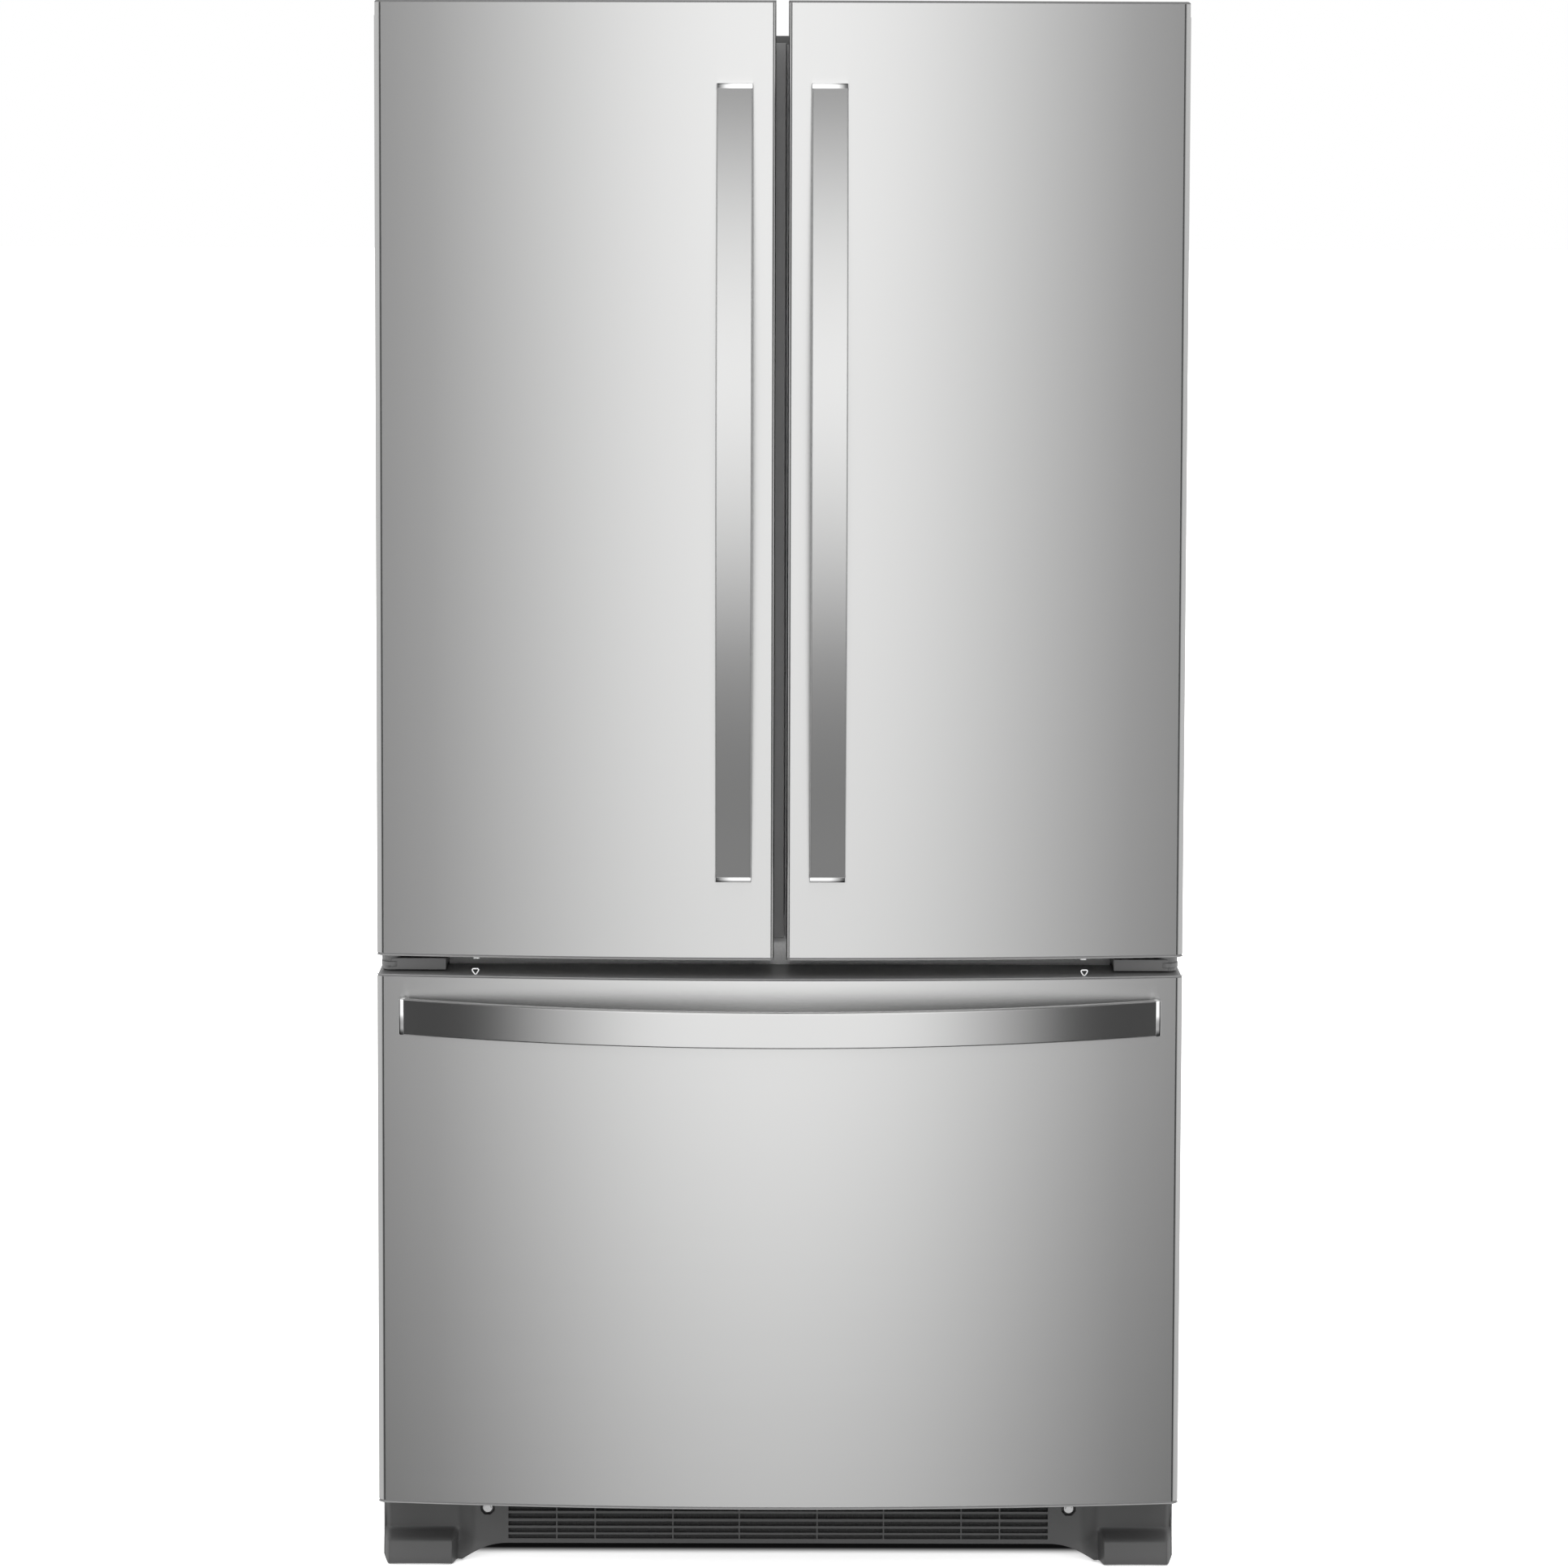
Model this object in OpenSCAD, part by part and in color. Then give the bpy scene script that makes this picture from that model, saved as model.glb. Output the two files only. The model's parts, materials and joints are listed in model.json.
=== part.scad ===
// French door refrigerator with a freezer drawer below, as an assembly of separate pieces.
// The origin is on the floor under the middle of the overall box. +Z is up and the doors face -Y.
// All sizes are in millimetres.

/* [Overall size] */
// Width over the cabinet and over the closed doors
body_w = 905; // [895:1:915]
// Depth from the faces of the handles to the back panel
total_d = 890; // [880:1:900]
// Height to the tops of the doors and of the hinge covers
total_h = 1781; // [1778:1:1785]
// Height of the cabinet's top
cabinet_h = 1743; // [1740:1:1745]

/* [Doors and drawer front] */
// How far the middle of the fronts stands ahead of their outer edges
bow = 25; // [15:1:30]
// Depth of a front at the middle of the appliance
front_t = 85; // [82:1:90]
// Gap between the two doors
door_gap = 14; // [12:1:16]
// Height of the doors' lower edge above the floor
door_bottom = 713; // [712:1:715]
// Height of the drawer front's upper edge
drawer_top = 692; // [690:1:693]
// Height of the drawer front's lower edge
drawer_bottom = 87; // [86:1:90]
// Radius of the fronts' outer vertical edges
outer_r = 9; // [7:0.5:10]
// Radius of the doors' meeting edges
meeting_r = 4; // [3:0.5:5]
// Radius of the fronts' outer corners as seen from ahead
corner_r = 5; // [4:0.5:6]
// Thickness of the steel skins
skin_t = 1.2; // [1:0.1:1.4]

/* [Handles] */
// How far a handle's face stands ahead of the front at its middle
handle_reach = 67; // [60:1:72]
// Width of a handle bar's face
handle_w = 40; // [34:1:42]
// Thickness of a handle bar
handle_t = 10; // [8:1:12]
// Distance of a door handle's middle line from the gap's middle
handle_x = 52.5; // [48:0.5:60]
// Length of a door handle
handle_len = 886; // [860:1:900]
// Length of the drawer handle
drawer_handle_len = 853; // [830:1:860]
// Height of the drawer handle's middle line
drawer_handle_z = 647; // [640:1:650]

/* [Movement] */
// Radius of the door hinge pins
pin_r = 5; // [4.5:0.1:5.5]
// Radial clearance of pins and shafts in their bores
run_gap = 0.08; // [0.05:0.01:0.1]

/* [Hidden] */

// Facets of ordinary round shapes, and of the very large arcs of the bowed fronts
$fn = 48;
large_fn = 1440;
// Assembly gap between neighbouring pieces
fit = 0.3;

half_w = body_w / 2;
face_y = -total_d / 2;                      // handle faces
door_front = face_y + handle_reach;         // fronts at the middle
edge_front = door_front + bow;              // fronts at the outer edges
gasket_t = 14;
door_back = door_front + front_t;
cab_front = door_back + gasket_t;
cab_back = total_d / 2;
bow_radius = (half_w * half_w + bow * bow) / (2 * bow);
bow_cy = door_front + bow_radius;

// Hinge line of the left door; the right one mirrors it
hinge_x = -half_w + 16;
hinge_y = edge_front + 28;

// Compartments: half width, back wall, floors and ceilings of the liners' inner faces
inner_hw = half_w - 50;
inner_back = cab_back - 45;
liner_t = 2.5;
fridge_lo = 745;
fridge_hi = 1700;
freezer_lo = 135;
freezer_hi = 660;
step_y = 130;                               // the freezer floor steps up behind here
step_z = 365;                               // to this height, over the machine room
foam_lo = 90;
machine_y = step_y + 45;
machine_hi = step_z - 45;
evaporator_y = 335;

// Ends of a front's skin: visible lips of the plastic end caps and the depth of their plugs
cap_lip_top = 2.5;
cap_lip_low = 3;
cap_plug = 30;
hinge_pocket_z = total_h - 17;              // floor of the hinge arm's pocket in the door top
cap_inset = skin_t + fit;
front_liner_t = 2.5;

// Inner faces of the fronts
dike_w = 14;
door_dike = 50;
drawer_dike = 35;
bin_z = [965, 1205, 1445];
bin_h = 110;
bin_back = -180;
bin_wall = 2.5;

// Fridge interior
shelf_z = [1160, 1400];
crisper_cover_z = 935;
shelf_front = -150;
glass_t = 4;
crisper_front = -120;
crisper_z = 757;
crisper_h = 163;
track_x = [62, 370];                        // shelf tracks, out from the middle

// Freezer slides
rail_y0 = -257.9;
rail_len = 372;
rail_z = 415;
carrier_top = rail_z + 31;

// Machine room
fan_c = [0, 305, 140];
compressor_c = [-250, 310, 0];
roller_r = 22;
roller_y = 385;
leg_x = 410;
leg_y = -245;
evap_fan_z = 560;

// ---------------------------------------------------------------- helpers

// Box from one corner to the opposite one
module box(lo, hi) {
    translate(lo) cube(hi - lo);
}

// Rectangle from x0, y0 to x1, y1 with round corners
module round_rect(lo, hi, r) {
    translate([lo.x + r, lo.y]) square([hi.x - lo.x - 2 * r, hi.y - lo.y]);
    translate([lo.x, lo.y + r]) square([hi.x - lo.x, hi.y - lo.y - 2 * r]);
    for (x = [lo.x + r, hi.x - r], y = [lo.y + r, hi.y - r]) translate([x, y]) circle(r);
}

// Upright plate or ring: a shape in X and Z, spanning y0 to y1
module along_y(y0, y1) {
    translate([0, y1, 0]) rotate([90, 0, 0]) linear_extrude(y1 - y0) children();
}

// Upright plate: a shape in Y and Z, spanning x0 to x1
module along_x(x0, x1) {
    translate([x0, 0, 0]) rotate([90, 0, 90]) linear_extrude(x1 - x0) children();
}

module both_sides() {
    children();
    mirror([1, 0, 0]) children();
}

// Left pieces are drawn; right ones are their mirror image
module on_side(right) {
    if (right) mirror([1, 0, 0]) children();
    else children();
}

// Rectangular ring in X and Z
module ring(lo, hi, w, r) {
    difference() {
        round_rect(lo, hi, r);
        round_rect([lo.x + w, lo.y + w], [hi.x - w, hi.y - w], max(r - w, 1));
    }
}

// Open tray with walls of one thickness
module tray(lo, hi, wall, r) {
    difference() {
        translate([0, 0, lo.z]) linear_extrude(hi.z - lo.z)
            round_rect([lo.x, lo.y], [hi.x, hi.y], r);
        translate([0, 0, lo.z + wall]) linear_extrude(hi.z - lo.z)
            round_rect([lo.x + wall, lo.y + wall], [hi.x - wall, hi.y - wall], r - wall);
    }
}

// ---------------------------------------------------------------- bowed fronts

// Middle, in Y, of a corner circle of radius r at x = c that touches the bow from inside
function corner_y(c, r, inset) = bow_cy - sqrt(pow(bow_radius - inset - r, 2) - c * c);
// Where that circle meets the bow
function meet_x(c, r, inset) = c * (bow_radius - inset) / (bow_radius - inset - r);

// Plan of a front from x0 to x1: bowed face, two round corners and a flat back, all set in by inset
module front_plan(x0, x1, r0, r1, back, inset = 0) {
    ra = r0 - inset;
    rb = r1 - inset;
    a = x0 + inset + ra;
    b = x1 - inset - rb;
    ya = corner_y(a, ra, inset);
    yb = corner_y(b, rb, inset);
    ma = meet_x(a, ra, inset);
    mb = meet_x(b, rb, inset);
    intersection() {
        translate([0, bow_cy]) circle(bow_radius - inset, $fn = large_fn);
        translate([ma, door_front - 1]) square([mb - ma, back - door_front + 1]);
    }
    translate([a - ra, ya]) square([ra + 2, back - ya]);
    translate([b - 2, yb]) square([rb + 2, back - yb]);
    translate([a, ya]) circle(ra);
    translate([b, yb]) circle(rb);
}

module door_plan(back, inset = 0) {
    front_plan(-half_w, -door_gap / 2, outer_r, meeting_r, back, inset);
}

module drawer_plan(back, inset = 0) {
    front_plan(-half_w, half_w, outer_r, outer_r, back, inset);
}

// The corner of a door top that is left open for the hinge arm
module hinge_pocket() {
    box([-half_w - 1, edge_front + 4, hinge_pocket_z], [hinge_x + 9, door_back + 1, total_h + 1]);
}

// Rounds a front's outer corner at x, z; dx and dz point inwards
module round_off(x, z, dx, dz) {
    over = 1;
    lo = [min(x - dx * over, x + dx * corner_r), min(z - dz * over, z + dz * corner_r)];
    along_y(door_front - over, door_back + over) difference() {
        translate(lo) square(corner_r + over);
        translate([x + dx * corner_r, z + dz * corner_r]) circle(corner_r);
    }
}

module door_corners() {
    round_off(-half_w, door_bottom, 1, 1);
    round_off(-half_w, total_h, 1, -1);
}

module drawer_corners() {
    for (s = [-1, 1]) {
        round_off(s * half_w, drawer_bottom, -s, 1);
        round_off(s * half_w, drawer_top, -s, -1);
    }
}

module hinge_bore(z0, z1) {
    translate([hinge_x, hinge_y, z0]) cylinder(h = z1 - z0, r = pin_r + run_gap);
}

module door_skin() {
    color("lightgray") difference() {
        translate([0, 0, door_bottom + cap_lip_low])
            linear_extrude(total_h - cap_lip_top - door_bottom - cap_lip_low) difference() {
                door_plan(door_back);
                door_plan(door_back + 1, skin_t);
            }
        hinge_pocket();
        door_corners();
    }
}

module door_end_caps() {
    plug_back = door_back - front_liner_t - fit;
    color("dimgray") {
        difference() {
            union() {
                translate([0, 0, total_h - cap_lip_top]) linear_extrude(cap_lip_top) door_plan(door_back);
                translate([0, 0, total_h - cap_lip_top - cap_plug]) linear_extrude(cap_plug)
                    door_plan(plug_back, cap_inset);
            }
            hinge_pocket();
            hinge_bore(hinge_pocket_z - 14, hinge_pocket_z + 1);
            door_corners();
        }
        difference() {
            union() {
                translate([0, 0, door_bottom]) linear_extrude(cap_lip_low) door_plan(door_back);
                translate([0, 0, door_bottom + cap_lip_low]) linear_extrude(cap_plug)
                    door_plan(plug_back, cap_inset);
            }
            hinge_bore(door_bottom - 1, door_bottom + 20);
            door_corners();
        }
    }
}

module door_insulation() {
    z0 = door_bottom + cap_lip_low + cap_plug;
    z1 = total_h - cap_lip_top - cap_plug;
    color("khaki") translate([0, 0, z0]) linear_extrude(z1 - z0)
        door_plan(door_back - front_liner_t - fit, cap_inset);
}

// Inner plate of a door with its raised dike, bin lugs and, on the left door, ears for the flipper
dike_lo = [-half_w + 60, fridge_lo + 13];
dike_hi = [-62, fridge_hi - 12];

module door_liner(with_ears) {
    dike_back = door_back + door_dike;
    lug = [9, 26, 10];
    difference() {
        union() {
            box([-half_w + skin_t + fit, door_back - front_liner_t, door_bottom + cap_lip_low],
                [-door_gap / 2 - skin_t - fit, door_back, total_h - cap_lip_top]);
            along_y(door_back, dike_back) ring(dike_lo, dike_hi, dike_w, 8);
            for (z = bin_z) {
                box([dike_lo.x + dike_w, door_back, z - lug.z],
                    [dike_lo.x + dike_w + lug.x, door_back + lug.y, z]);
                box([dike_hi.x - dike_w - lug.x, door_back, z - lug.z],
                    [dike_hi.x - dike_w, door_back + lug.y, z]);
            }
            if (with_ears) flipper_ears();
        }
        hinge_pocket();
    }
}

// Ring behind a door. The left one has a lip over the flipper's front.
// The right one has a fin beside the flipper.
module door_gasket(is_left) {
    w = 16;
    lo = [hinge_x - 4, door_bottom + 8];
    hi = [-door_gap / 2 - 3, cabinet_h - 8];
    lip_end = 4.2;
    fin_end = -6.9;
    color("gray") {
        along_y(door_back + 0.1, cab_front - 0.4) ring(lo, hi, w, 3);
        if (is_left) box([hi.x - 2, cab_front - 6.5, lo.y], [lip_end, cab_front - 2, hi.y]);
        else box([-20, cab_front - 0.4, flip_lo], [fin_end, cab_front + 7, flip_hi]);
    }
}

module door_bins() {
    color("whitesmoke") for (z = bin_z)
        tray([dike_lo.x + dike_w + 1, door_back + fit, z],
             [dike_hi.x - dike_w - 1, bin_back, z + bin_h], bin_wall, 12);
}

// ---------------------------------------------------------------- handles

// A bar bent to an arc, in the plane of its arc: x along the bar, y forward is negative
function arc_r(len, sag) = (len * len / 4 + sag * sag) / (2 * sag);
foot_h = 16;                                // a foot's height over the front
foot_len = 38;
foot_w = handle_w - 16;                     // the block is narrower than the bar
foot_cap = 4.6;                             // bright end beyond the bar
door_handle_sag = handle_reach - foot_h;
door_handle_r = arc_r(handle_len, door_handle_sag);
drawer_handle_sag = handle_reach - foot_h
    + bow_drop(drawer_handle_len / 2);
drawer_handle_r = arc_r(drawer_handle_len, drawer_handle_sag);
door_handle_mid = (total_h + door_bottom) / 2;

// Distance of the bowed front from its middle plane at x
function bow_drop(x) = bow_radius - sqrt(bow_radius * bow_radius - x * x);

module arc_band(radius, thickness, half_len) {
    intersection() {
        difference() {
            translate([0, face_y + radius]) circle(radius, $fn = large_fn);
            translate([0, face_y + radius]) circle(radius - thickness, $fn = large_fn);
        }
        translate([-half_len, face_y - 1]) square([2 * half_len, handle_reach + bow + 10]);
    }
}

// Side of a foot's bright end, which closes the bar's end, down to the depth base
module cap_side(radius, half_len, base) {
    inner = half_len - foot_cap;
    polygon([[half_len, arc_at(radius, 0, half_len)], [inner, arc_at(radius, 0, inner)],
             [inner, base], [half_len, base]]);
}

// Side of a foot's block behind the bar, down to the depth base
module block_side(radius, half_len, base) {
    steps = 6;
    inner = [for (i = [0 : steps]) half_len - foot_cap - (foot_len - foot_cap) * i / steps];
    polygon(concat(
        [[half_len - foot_cap + 1, arc_at(radius, handle_t + 0.1, half_len - foot_cap)]],
        [for (u = inner) [u, arc_at(radius, handle_t + 0.1, u)]],
        [[half_len - foot_len, base], [half_len - foot_cap + 1, base]]));
}

// Depth of an arc concentric with the bar's face, set back from it by t, at u along the bar
function arc_at(radius, t, u) = face_y + radius - sqrt(pow(radius - t, 2) - u * u);

// Half space behind the plane that touches the front at x
module behind_front(x, z0, z1) {
    slope = asin(x / bow_radius);
    translate([x, door_front + bow_drop(x) - 0.1, z0]) rotate([0, 0, slope])
        translate([-60, 0, 0]) cube([120, 60, z1 - z0]);
}

// Turns a plan that lies along X into a plate of width w that stands along Z at the handle's place
module upright(mid_x, mid_z, w) {
    translate([mid_x + w / 2, 0, mid_z]) rotate([0, -90, 0]) linear_extrude(w) children();
}

module door_handle_bar() {
    color("silver") upright(-handle_x, door_handle_mid, handle_w)
        arc_band(door_handle_r, handle_t, handle_len / 2 - foot_cap - 0.1);
}

module door_handle_feet() {
    color("gainsboro") difference() {
        for (s = [0, 1]) translate([0, 0, door_handle_mid]) mirror([0, 0, s]) {
            upright(-handle_x, 0, handle_w) cap_side(door_handle_r, handle_len / 2, door_front + 8);
            upright(-handle_x, 0, foot_w) block_side(door_handle_r, handle_len / 2, door_front + 8);
        }
        behind_front(-handle_x, 700, total_h);
    }
}

module drawer_handle_bar() {
    color("silver") translate([0, 0, drawer_handle_z - handle_w / 2]) linear_extrude(handle_w)
        arc_band(drawer_handle_r, handle_t, drawer_handle_len / 2 - foot_cap - 0.1);
}

module drawer_handle_feet() {
    color("gainsboro") both_sides() difference() {
        translate([0, 0, drawer_handle_z]) {
            linear_extrude(handle_w, center = true)
                cap_side(drawer_handle_r, drawer_handle_len / 2, edge_front + 8);
            linear_extrude(foot_w, center = true)
                block_side(drawer_handle_r, drawer_handle_len / 2, edge_front + 8);
        }
        behind_front(drawer_handle_len / 2 - foot_len / 2, 600, 700);
    }
}

// ---------------------------------------------------------------- flipper mullion

flip_x = -41;                               // its pivot line
flip_y = cab_front + 10.3;
flip_end = -0.5;                            // its free edge
flip_lo = fridge_lo + 21;
flip_hi = fridge_hi - 32;
flip_pin_r = 2.5;

module flipper_mullion() {
    color("dimgray") {
        box([flip_x + 3, flip_y - 10, flip_lo], [flip_end, flip_y + 10, flip_hi]);
        translate([flip_x, flip_y, flip_lo]) cylinder(h = flip_hi - flip_lo, r = 5);
        translate([flip_x, flip_y, flip_lo - 9]) cylinder(h = flip_hi - flip_lo + 18, r = flip_pin_r);
    }
}

module flipper_ears() {
    for (z = [flip_lo - 11, flip_hi + 1]) difference() {
        union() {
            box([dike_hi.x - 8, flip_y - 6, z], [flip_x, flip_y + 6, z + 10]);
            translate([flip_x, flip_y, z]) cylinder(h = 10, r = 6);
        }
        translate([flip_x, flip_y, z - 1]) cylinder(h = 12, r = flip_pin_r + run_gap);
    }
}

// ---------------------------------------------------------------- drawer front

module drawer_skin() {
    color("lightgray") difference() {
        translate([0, 0, drawer_bottom + cap_lip_low])
            linear_extrude(drawer_top - cap_lip_top - drawer_bottom - cap_lip_low) difference() {
                drawer_plan(door_back);
                drawer_plan(door_back + 1, skin_t);
            }
        drawer_corners();
    }
}

drawer_plug = 12;

module drawer_end_caps() {
    plug_back = door_back - front_liner_t - fit;
    color("dimgray") difference() {
        union() {
            translate([0, 0, drawer_top - cap_lip_top]) linear_extrude(cap_lip_top) drawer_plan(door_back);
            translate([0, 0, drawer_top - cap_lip_top - drawer_plug]) linear_extrude(drawer_plug)
                drawer_plan(plug_back, cap_inset);
            translate([0, 0, drawer_bottom]) linear_extrude(cap_lip_low) drawer_plan(door_back);
            translate([0, 0, drawer_bottom + cap_lip_low]) linear_extrude(drawer_plug)
                drawer_plan(plug_back, cap_inset);
        }
        drawer_corners();
    }
}

module drawer_insulation() {
    z0 = drawer_bottom + cap_lip_low + drawer_plug;
    z1 = drawer_top - cap_lip_top - drawer_plug;
    color("khaki") translate([0, 0, z0]) linear_extrude(z1 - z0)
        drawer_plan(door_back - front_liner_t - fit, cap_inset);
}

drawer_dike_x = half_w - 60;
drawer_dike_lo = freezer_lo + 13;
drawer_dike_hi = freezer_hi - 12;

module drawer_liner() {
    color("white") {
        box([-half_w + skin_t + fit, door_back - front_liner_t, drawer_bottom + cap_lip_low],
            [half_w - skin_t - fit, door_back, drawer_top - cap_lip_top]);
        along_y(door_back, door_back + drawer_dike)
            ring([-drawer_dike_x, drawer_dike_lo], [drawer_dike_x, drawer_dike_hi], dike_w, 8);
    }
}

module drawer_gasket() {
    color("gray") along_y(door_back + 0.1, cab_front - 0.4)
        ring([-half_w + 8, drawer_bottom + 8], [half_w - 8, drawer_top - 8], 16, 3);
}

// ---------------------------------------------------------------- freezer slides and baskets

// C-shaped rail, open towards the middle, on the right side
module c_rail(x_in, x_out, half_h) {
    t = 1.4;
    y0 = rail_y0 + 0.6;
    y1 = y0 + rail_len;
    box([x_out - t, y0, rail_z - half_h], [x_out, y1, rail_z + half_h]);
    for (z = [rail_z - half_h, rail_z + half_h - t]) box([x_in, y0, z], [x_out, y1, z + t]);
}

module slide_outer_rails() {
    color("silver") both_sides() c_rail(inner_hw - 11.5, inner_hw - 0.1, 20);
}

module slide_middle_rails() {
    color("silver") both_sides() c_rail(inner_hw - 16, inner_hw - 2.5, 17);
}

module slide_inner_rails() {
    y1 = rail_y0 + rail_len;
    color("silver") both_sides() {
        box([inner_hw - 18.5, rail_y0, rail_z - 14], [inner_hw - 10, y1, rail_z + 14]);
        box([inner_hw - 22, rail_y0, rail_z - 14], [inner_hw - 18.5, y1, carrier_top]);
    }
}

module lower_basket() {
    hw = inner_hw - 27;
    lo = freezer_lo + 17;
    color("whitesmoke") {
        tray([-hw, -254, lo], [hw, 112, carrier_top + 2], 3, 25);
        both_sides() box([hw - 1, -230, carrier_top], [inner_hw - 18.6, 90, carrier_top + 2]);
    }
}

module upper_basket() {
    hw = inner_hw - 32;
    z0 = carrier_top + 8;
    color("whitesmoke") {
        tray([-hw, -240, z0], [hw, 95, z0 + 160], 2.5, 22);
        // skids on the rim of the lower basket
        both_sides() box([hw - 3, -215, z0 - 5.7], [hw + 10, 70, z0 + 2]);
    }
}

// ---------------------------------------------------------------- cabinet

module cabinet_shell() {
    t = 1.2;
    color("dimgray") {
        both_sides() box([half_w - t, cab_front, 6], [half_w, cab_back, cabinet_h]);
        box([-half_w, cab_front, cabinet_h - t], [half_w, cab_back, cabinet_h]);
        along_y(cab_front, cab_front + t) difference() {
            translate([-half_w, foam_lo - 4]) square([body_w, cabinet_h - foam_lo + 4]);
            translate([-inner_hw, freezer_lo]) square([2 * inner_hw, fridge_hi - freezer_lo]);
        }
    }
}

// Outer space of the freezer liner, or its inside when grow is 0
module freezer_space(front, grow) {
    hw = inner_hw + grow;
    box([-hw, front, freezer_lo - grow], [hw, step_y + grow, freezer_hi + grow]);
    box([-hw, front, step_z - grow], [hw, inner_back + grow, freezer_hi + grow]);
}

module fridge_space(front, grow) {
    hw = inner_hw + grow;
    box([-hw, front, fridge_lo - grow], [hw, inner_back + grow, fridge_hi + grow]);
}

rail_depth = 17;

module cabinet_insulation() {
    front = cab_front + 1.3;
    color("khaki") difference() {
        box([-half_w + 1.3, front, foam_lo], [half_w - 1.3, cab_back - 1.4, cabinet_h - 1.3]);
        fridge_space(front - 1, liner_t + 0.1);
        freezer_space(front - 1, liner_t + 0.1);
        box([-inner_hw - liner_t, front - 1, freezer_hi],
            [inner_hw + liner_t, cab_front + rail_depth, fridge_lo]);
        box([-half_w, machine_y, foam_lo - 1], [half_w, cab_back, machine_hi]);
    }
}

module fridge_liner() {
    front = cab_front + 1.3;
    color("white") {
        difference() {
            fridge_space(front, liner_t);
            fridge_space(front - 1, 0);
        }
        // shelf tracks and the air tower on the back wall
        for (x = track_x) both_sides() box([x - 7, inner_back - 6, 980], [x + 7, inner_back, 1600]);
        box([-45, inner_back - 14, 960], [45, inner_back, 1640]);
        both_sides() {
            // ledges under the crisper shelf, and ribs that the crispers slide on
            box([inner_hw - 12, shelf_front, crisper_cover_z - 14], [inner_hw, 370, crisper_cover_z - 8.1]);
            for (x = [30, 370]) box([x - 4, crisper_front + 8, fridge_lo], [x + 4, 330, crisper_z - 0.3]);
        }
    }
}

module freezer_liner() {
    front = cab_front + 1.3;
    color("white") difference() {
        freezer_space(front, liner_t);
        freezer_space(front - 1, 0);
    }
}

module center_rail() {
    lo = freezer_hi + liner_t + 0.1;
    hi = fridge_lo - liner_t - 0.1;
    color("dimgray") {
        box([-inner_hw + 0.1, cab_front, freezer_hi + 0.1],
            [inner_hw - 0.1, cab_front + 1.2, fridge_lo - 0.1]);
        for (z = [lo, hi - 1.4])
            box([-inner_hw + 0.1, cab_front + 1.2, z], [inner_hw - 0.1, cab_front + rail_depth - 1, z + 1.4]);
    }
}

module rear_panel() {
    color("gray") difference() {
        box([-half_w + 1.3, cab_back - 1.2, machine_hi - 8], [half_w - 1.3, cab_back, cabinet_h - 1.3]);
        // stiffening grooves pressed into the sheet
        for (x = [-300, 0, 300]) box([x - 20, cab_back - 0.4, 420], [x + 20, cab_back + 1, 1650]);
    }
}

chassis_z = 30;

module base_chassis() {
    t = 3;
    color("gray") difference() {
        union() {
            box([-half_w + 3, cab_front + 4, chassis_z], [half_w - 3, cab_back - 9, chassis_z + t]);
            both_sides() box([half_w - 12, cab_front + 4, chassis_z + t],
                [half_w - 3, machine_y - 5, foam_lo - 0.1]);
            box([-half_w + 12, cab_front + 4, chassis_z + t], [half_w - 12, cab_front + 7, foam_lo - 0.1]);
            both_sides() {
                translate([leg_x, leg_y, chassis_z]) cylinder(h = 40, r = 12);
                for (x = [372, 402]) along_x(x, x + 2) {
                    translate([roller_y, roller_r]) circle(9);
                    translate([roller_y - 14, roller_r]) square([28, chassis_z - roller_r + t]);
                }
                translate([374, roller_y, roller_r]) rotate([0, 90, 0]) cylinder(h = 28, r = 4);
            }
        }
        both_sides() {
            translate([leg_x, leg_y, chassis_z - 1]) cylinder(h = 42, r = 6 + run_gap);
            box([375, roller_y - 26, chassis_z - 1], [401, roller_y + 26, chassis_z + t + 1]);
        }
    }
}

// Slots of the toe grille: heights of their lower edges, their heights, and the bars between the columns
slot_z = [24.8, 31.9, 39.8, 48.2, 57.0, 66.2];
slot_h = [4.6, 5.0, 5.1, 5.9, 6.2, 6.4];
slot_bars = [-310, -253.8, -209.8, -120.7, -44.6, 44.6, 120.7, 209.8, 253.8, 310];
grille_y = cab_front - 11;
grille_arch_z = 19.5;
grille_foot_x = 368;
grille_screw = [333, 60.5];

module grille_outline() {
    arch_x = 300;
    arch_end = grille_foot_x + 4;
    arch_r = (pow(arch_end - arch_x, 2) + pow(grille_arch_z - 2, 2)) / (2 * (grille_arch_z - 2));
    difference() {
        round_rect([-half_w + 0.5, 2], [half_w - 0.5, 84], 6);
        translate([-arch_x, -10]) square([2 * arch_x, grille_arch_z + 10]);
        for (s = [-1, 1]) intersection() {
            translate([s * arch_x, grille_arch_z - arch_r]) circle(arch_r, $fn = 360);
            translate([s > 0 ? arch_x - 1 : -arch_end - 9, 0])
                square([arch_end - arch_x + 10, grille_arch_z]);
        }
    }
}

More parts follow.
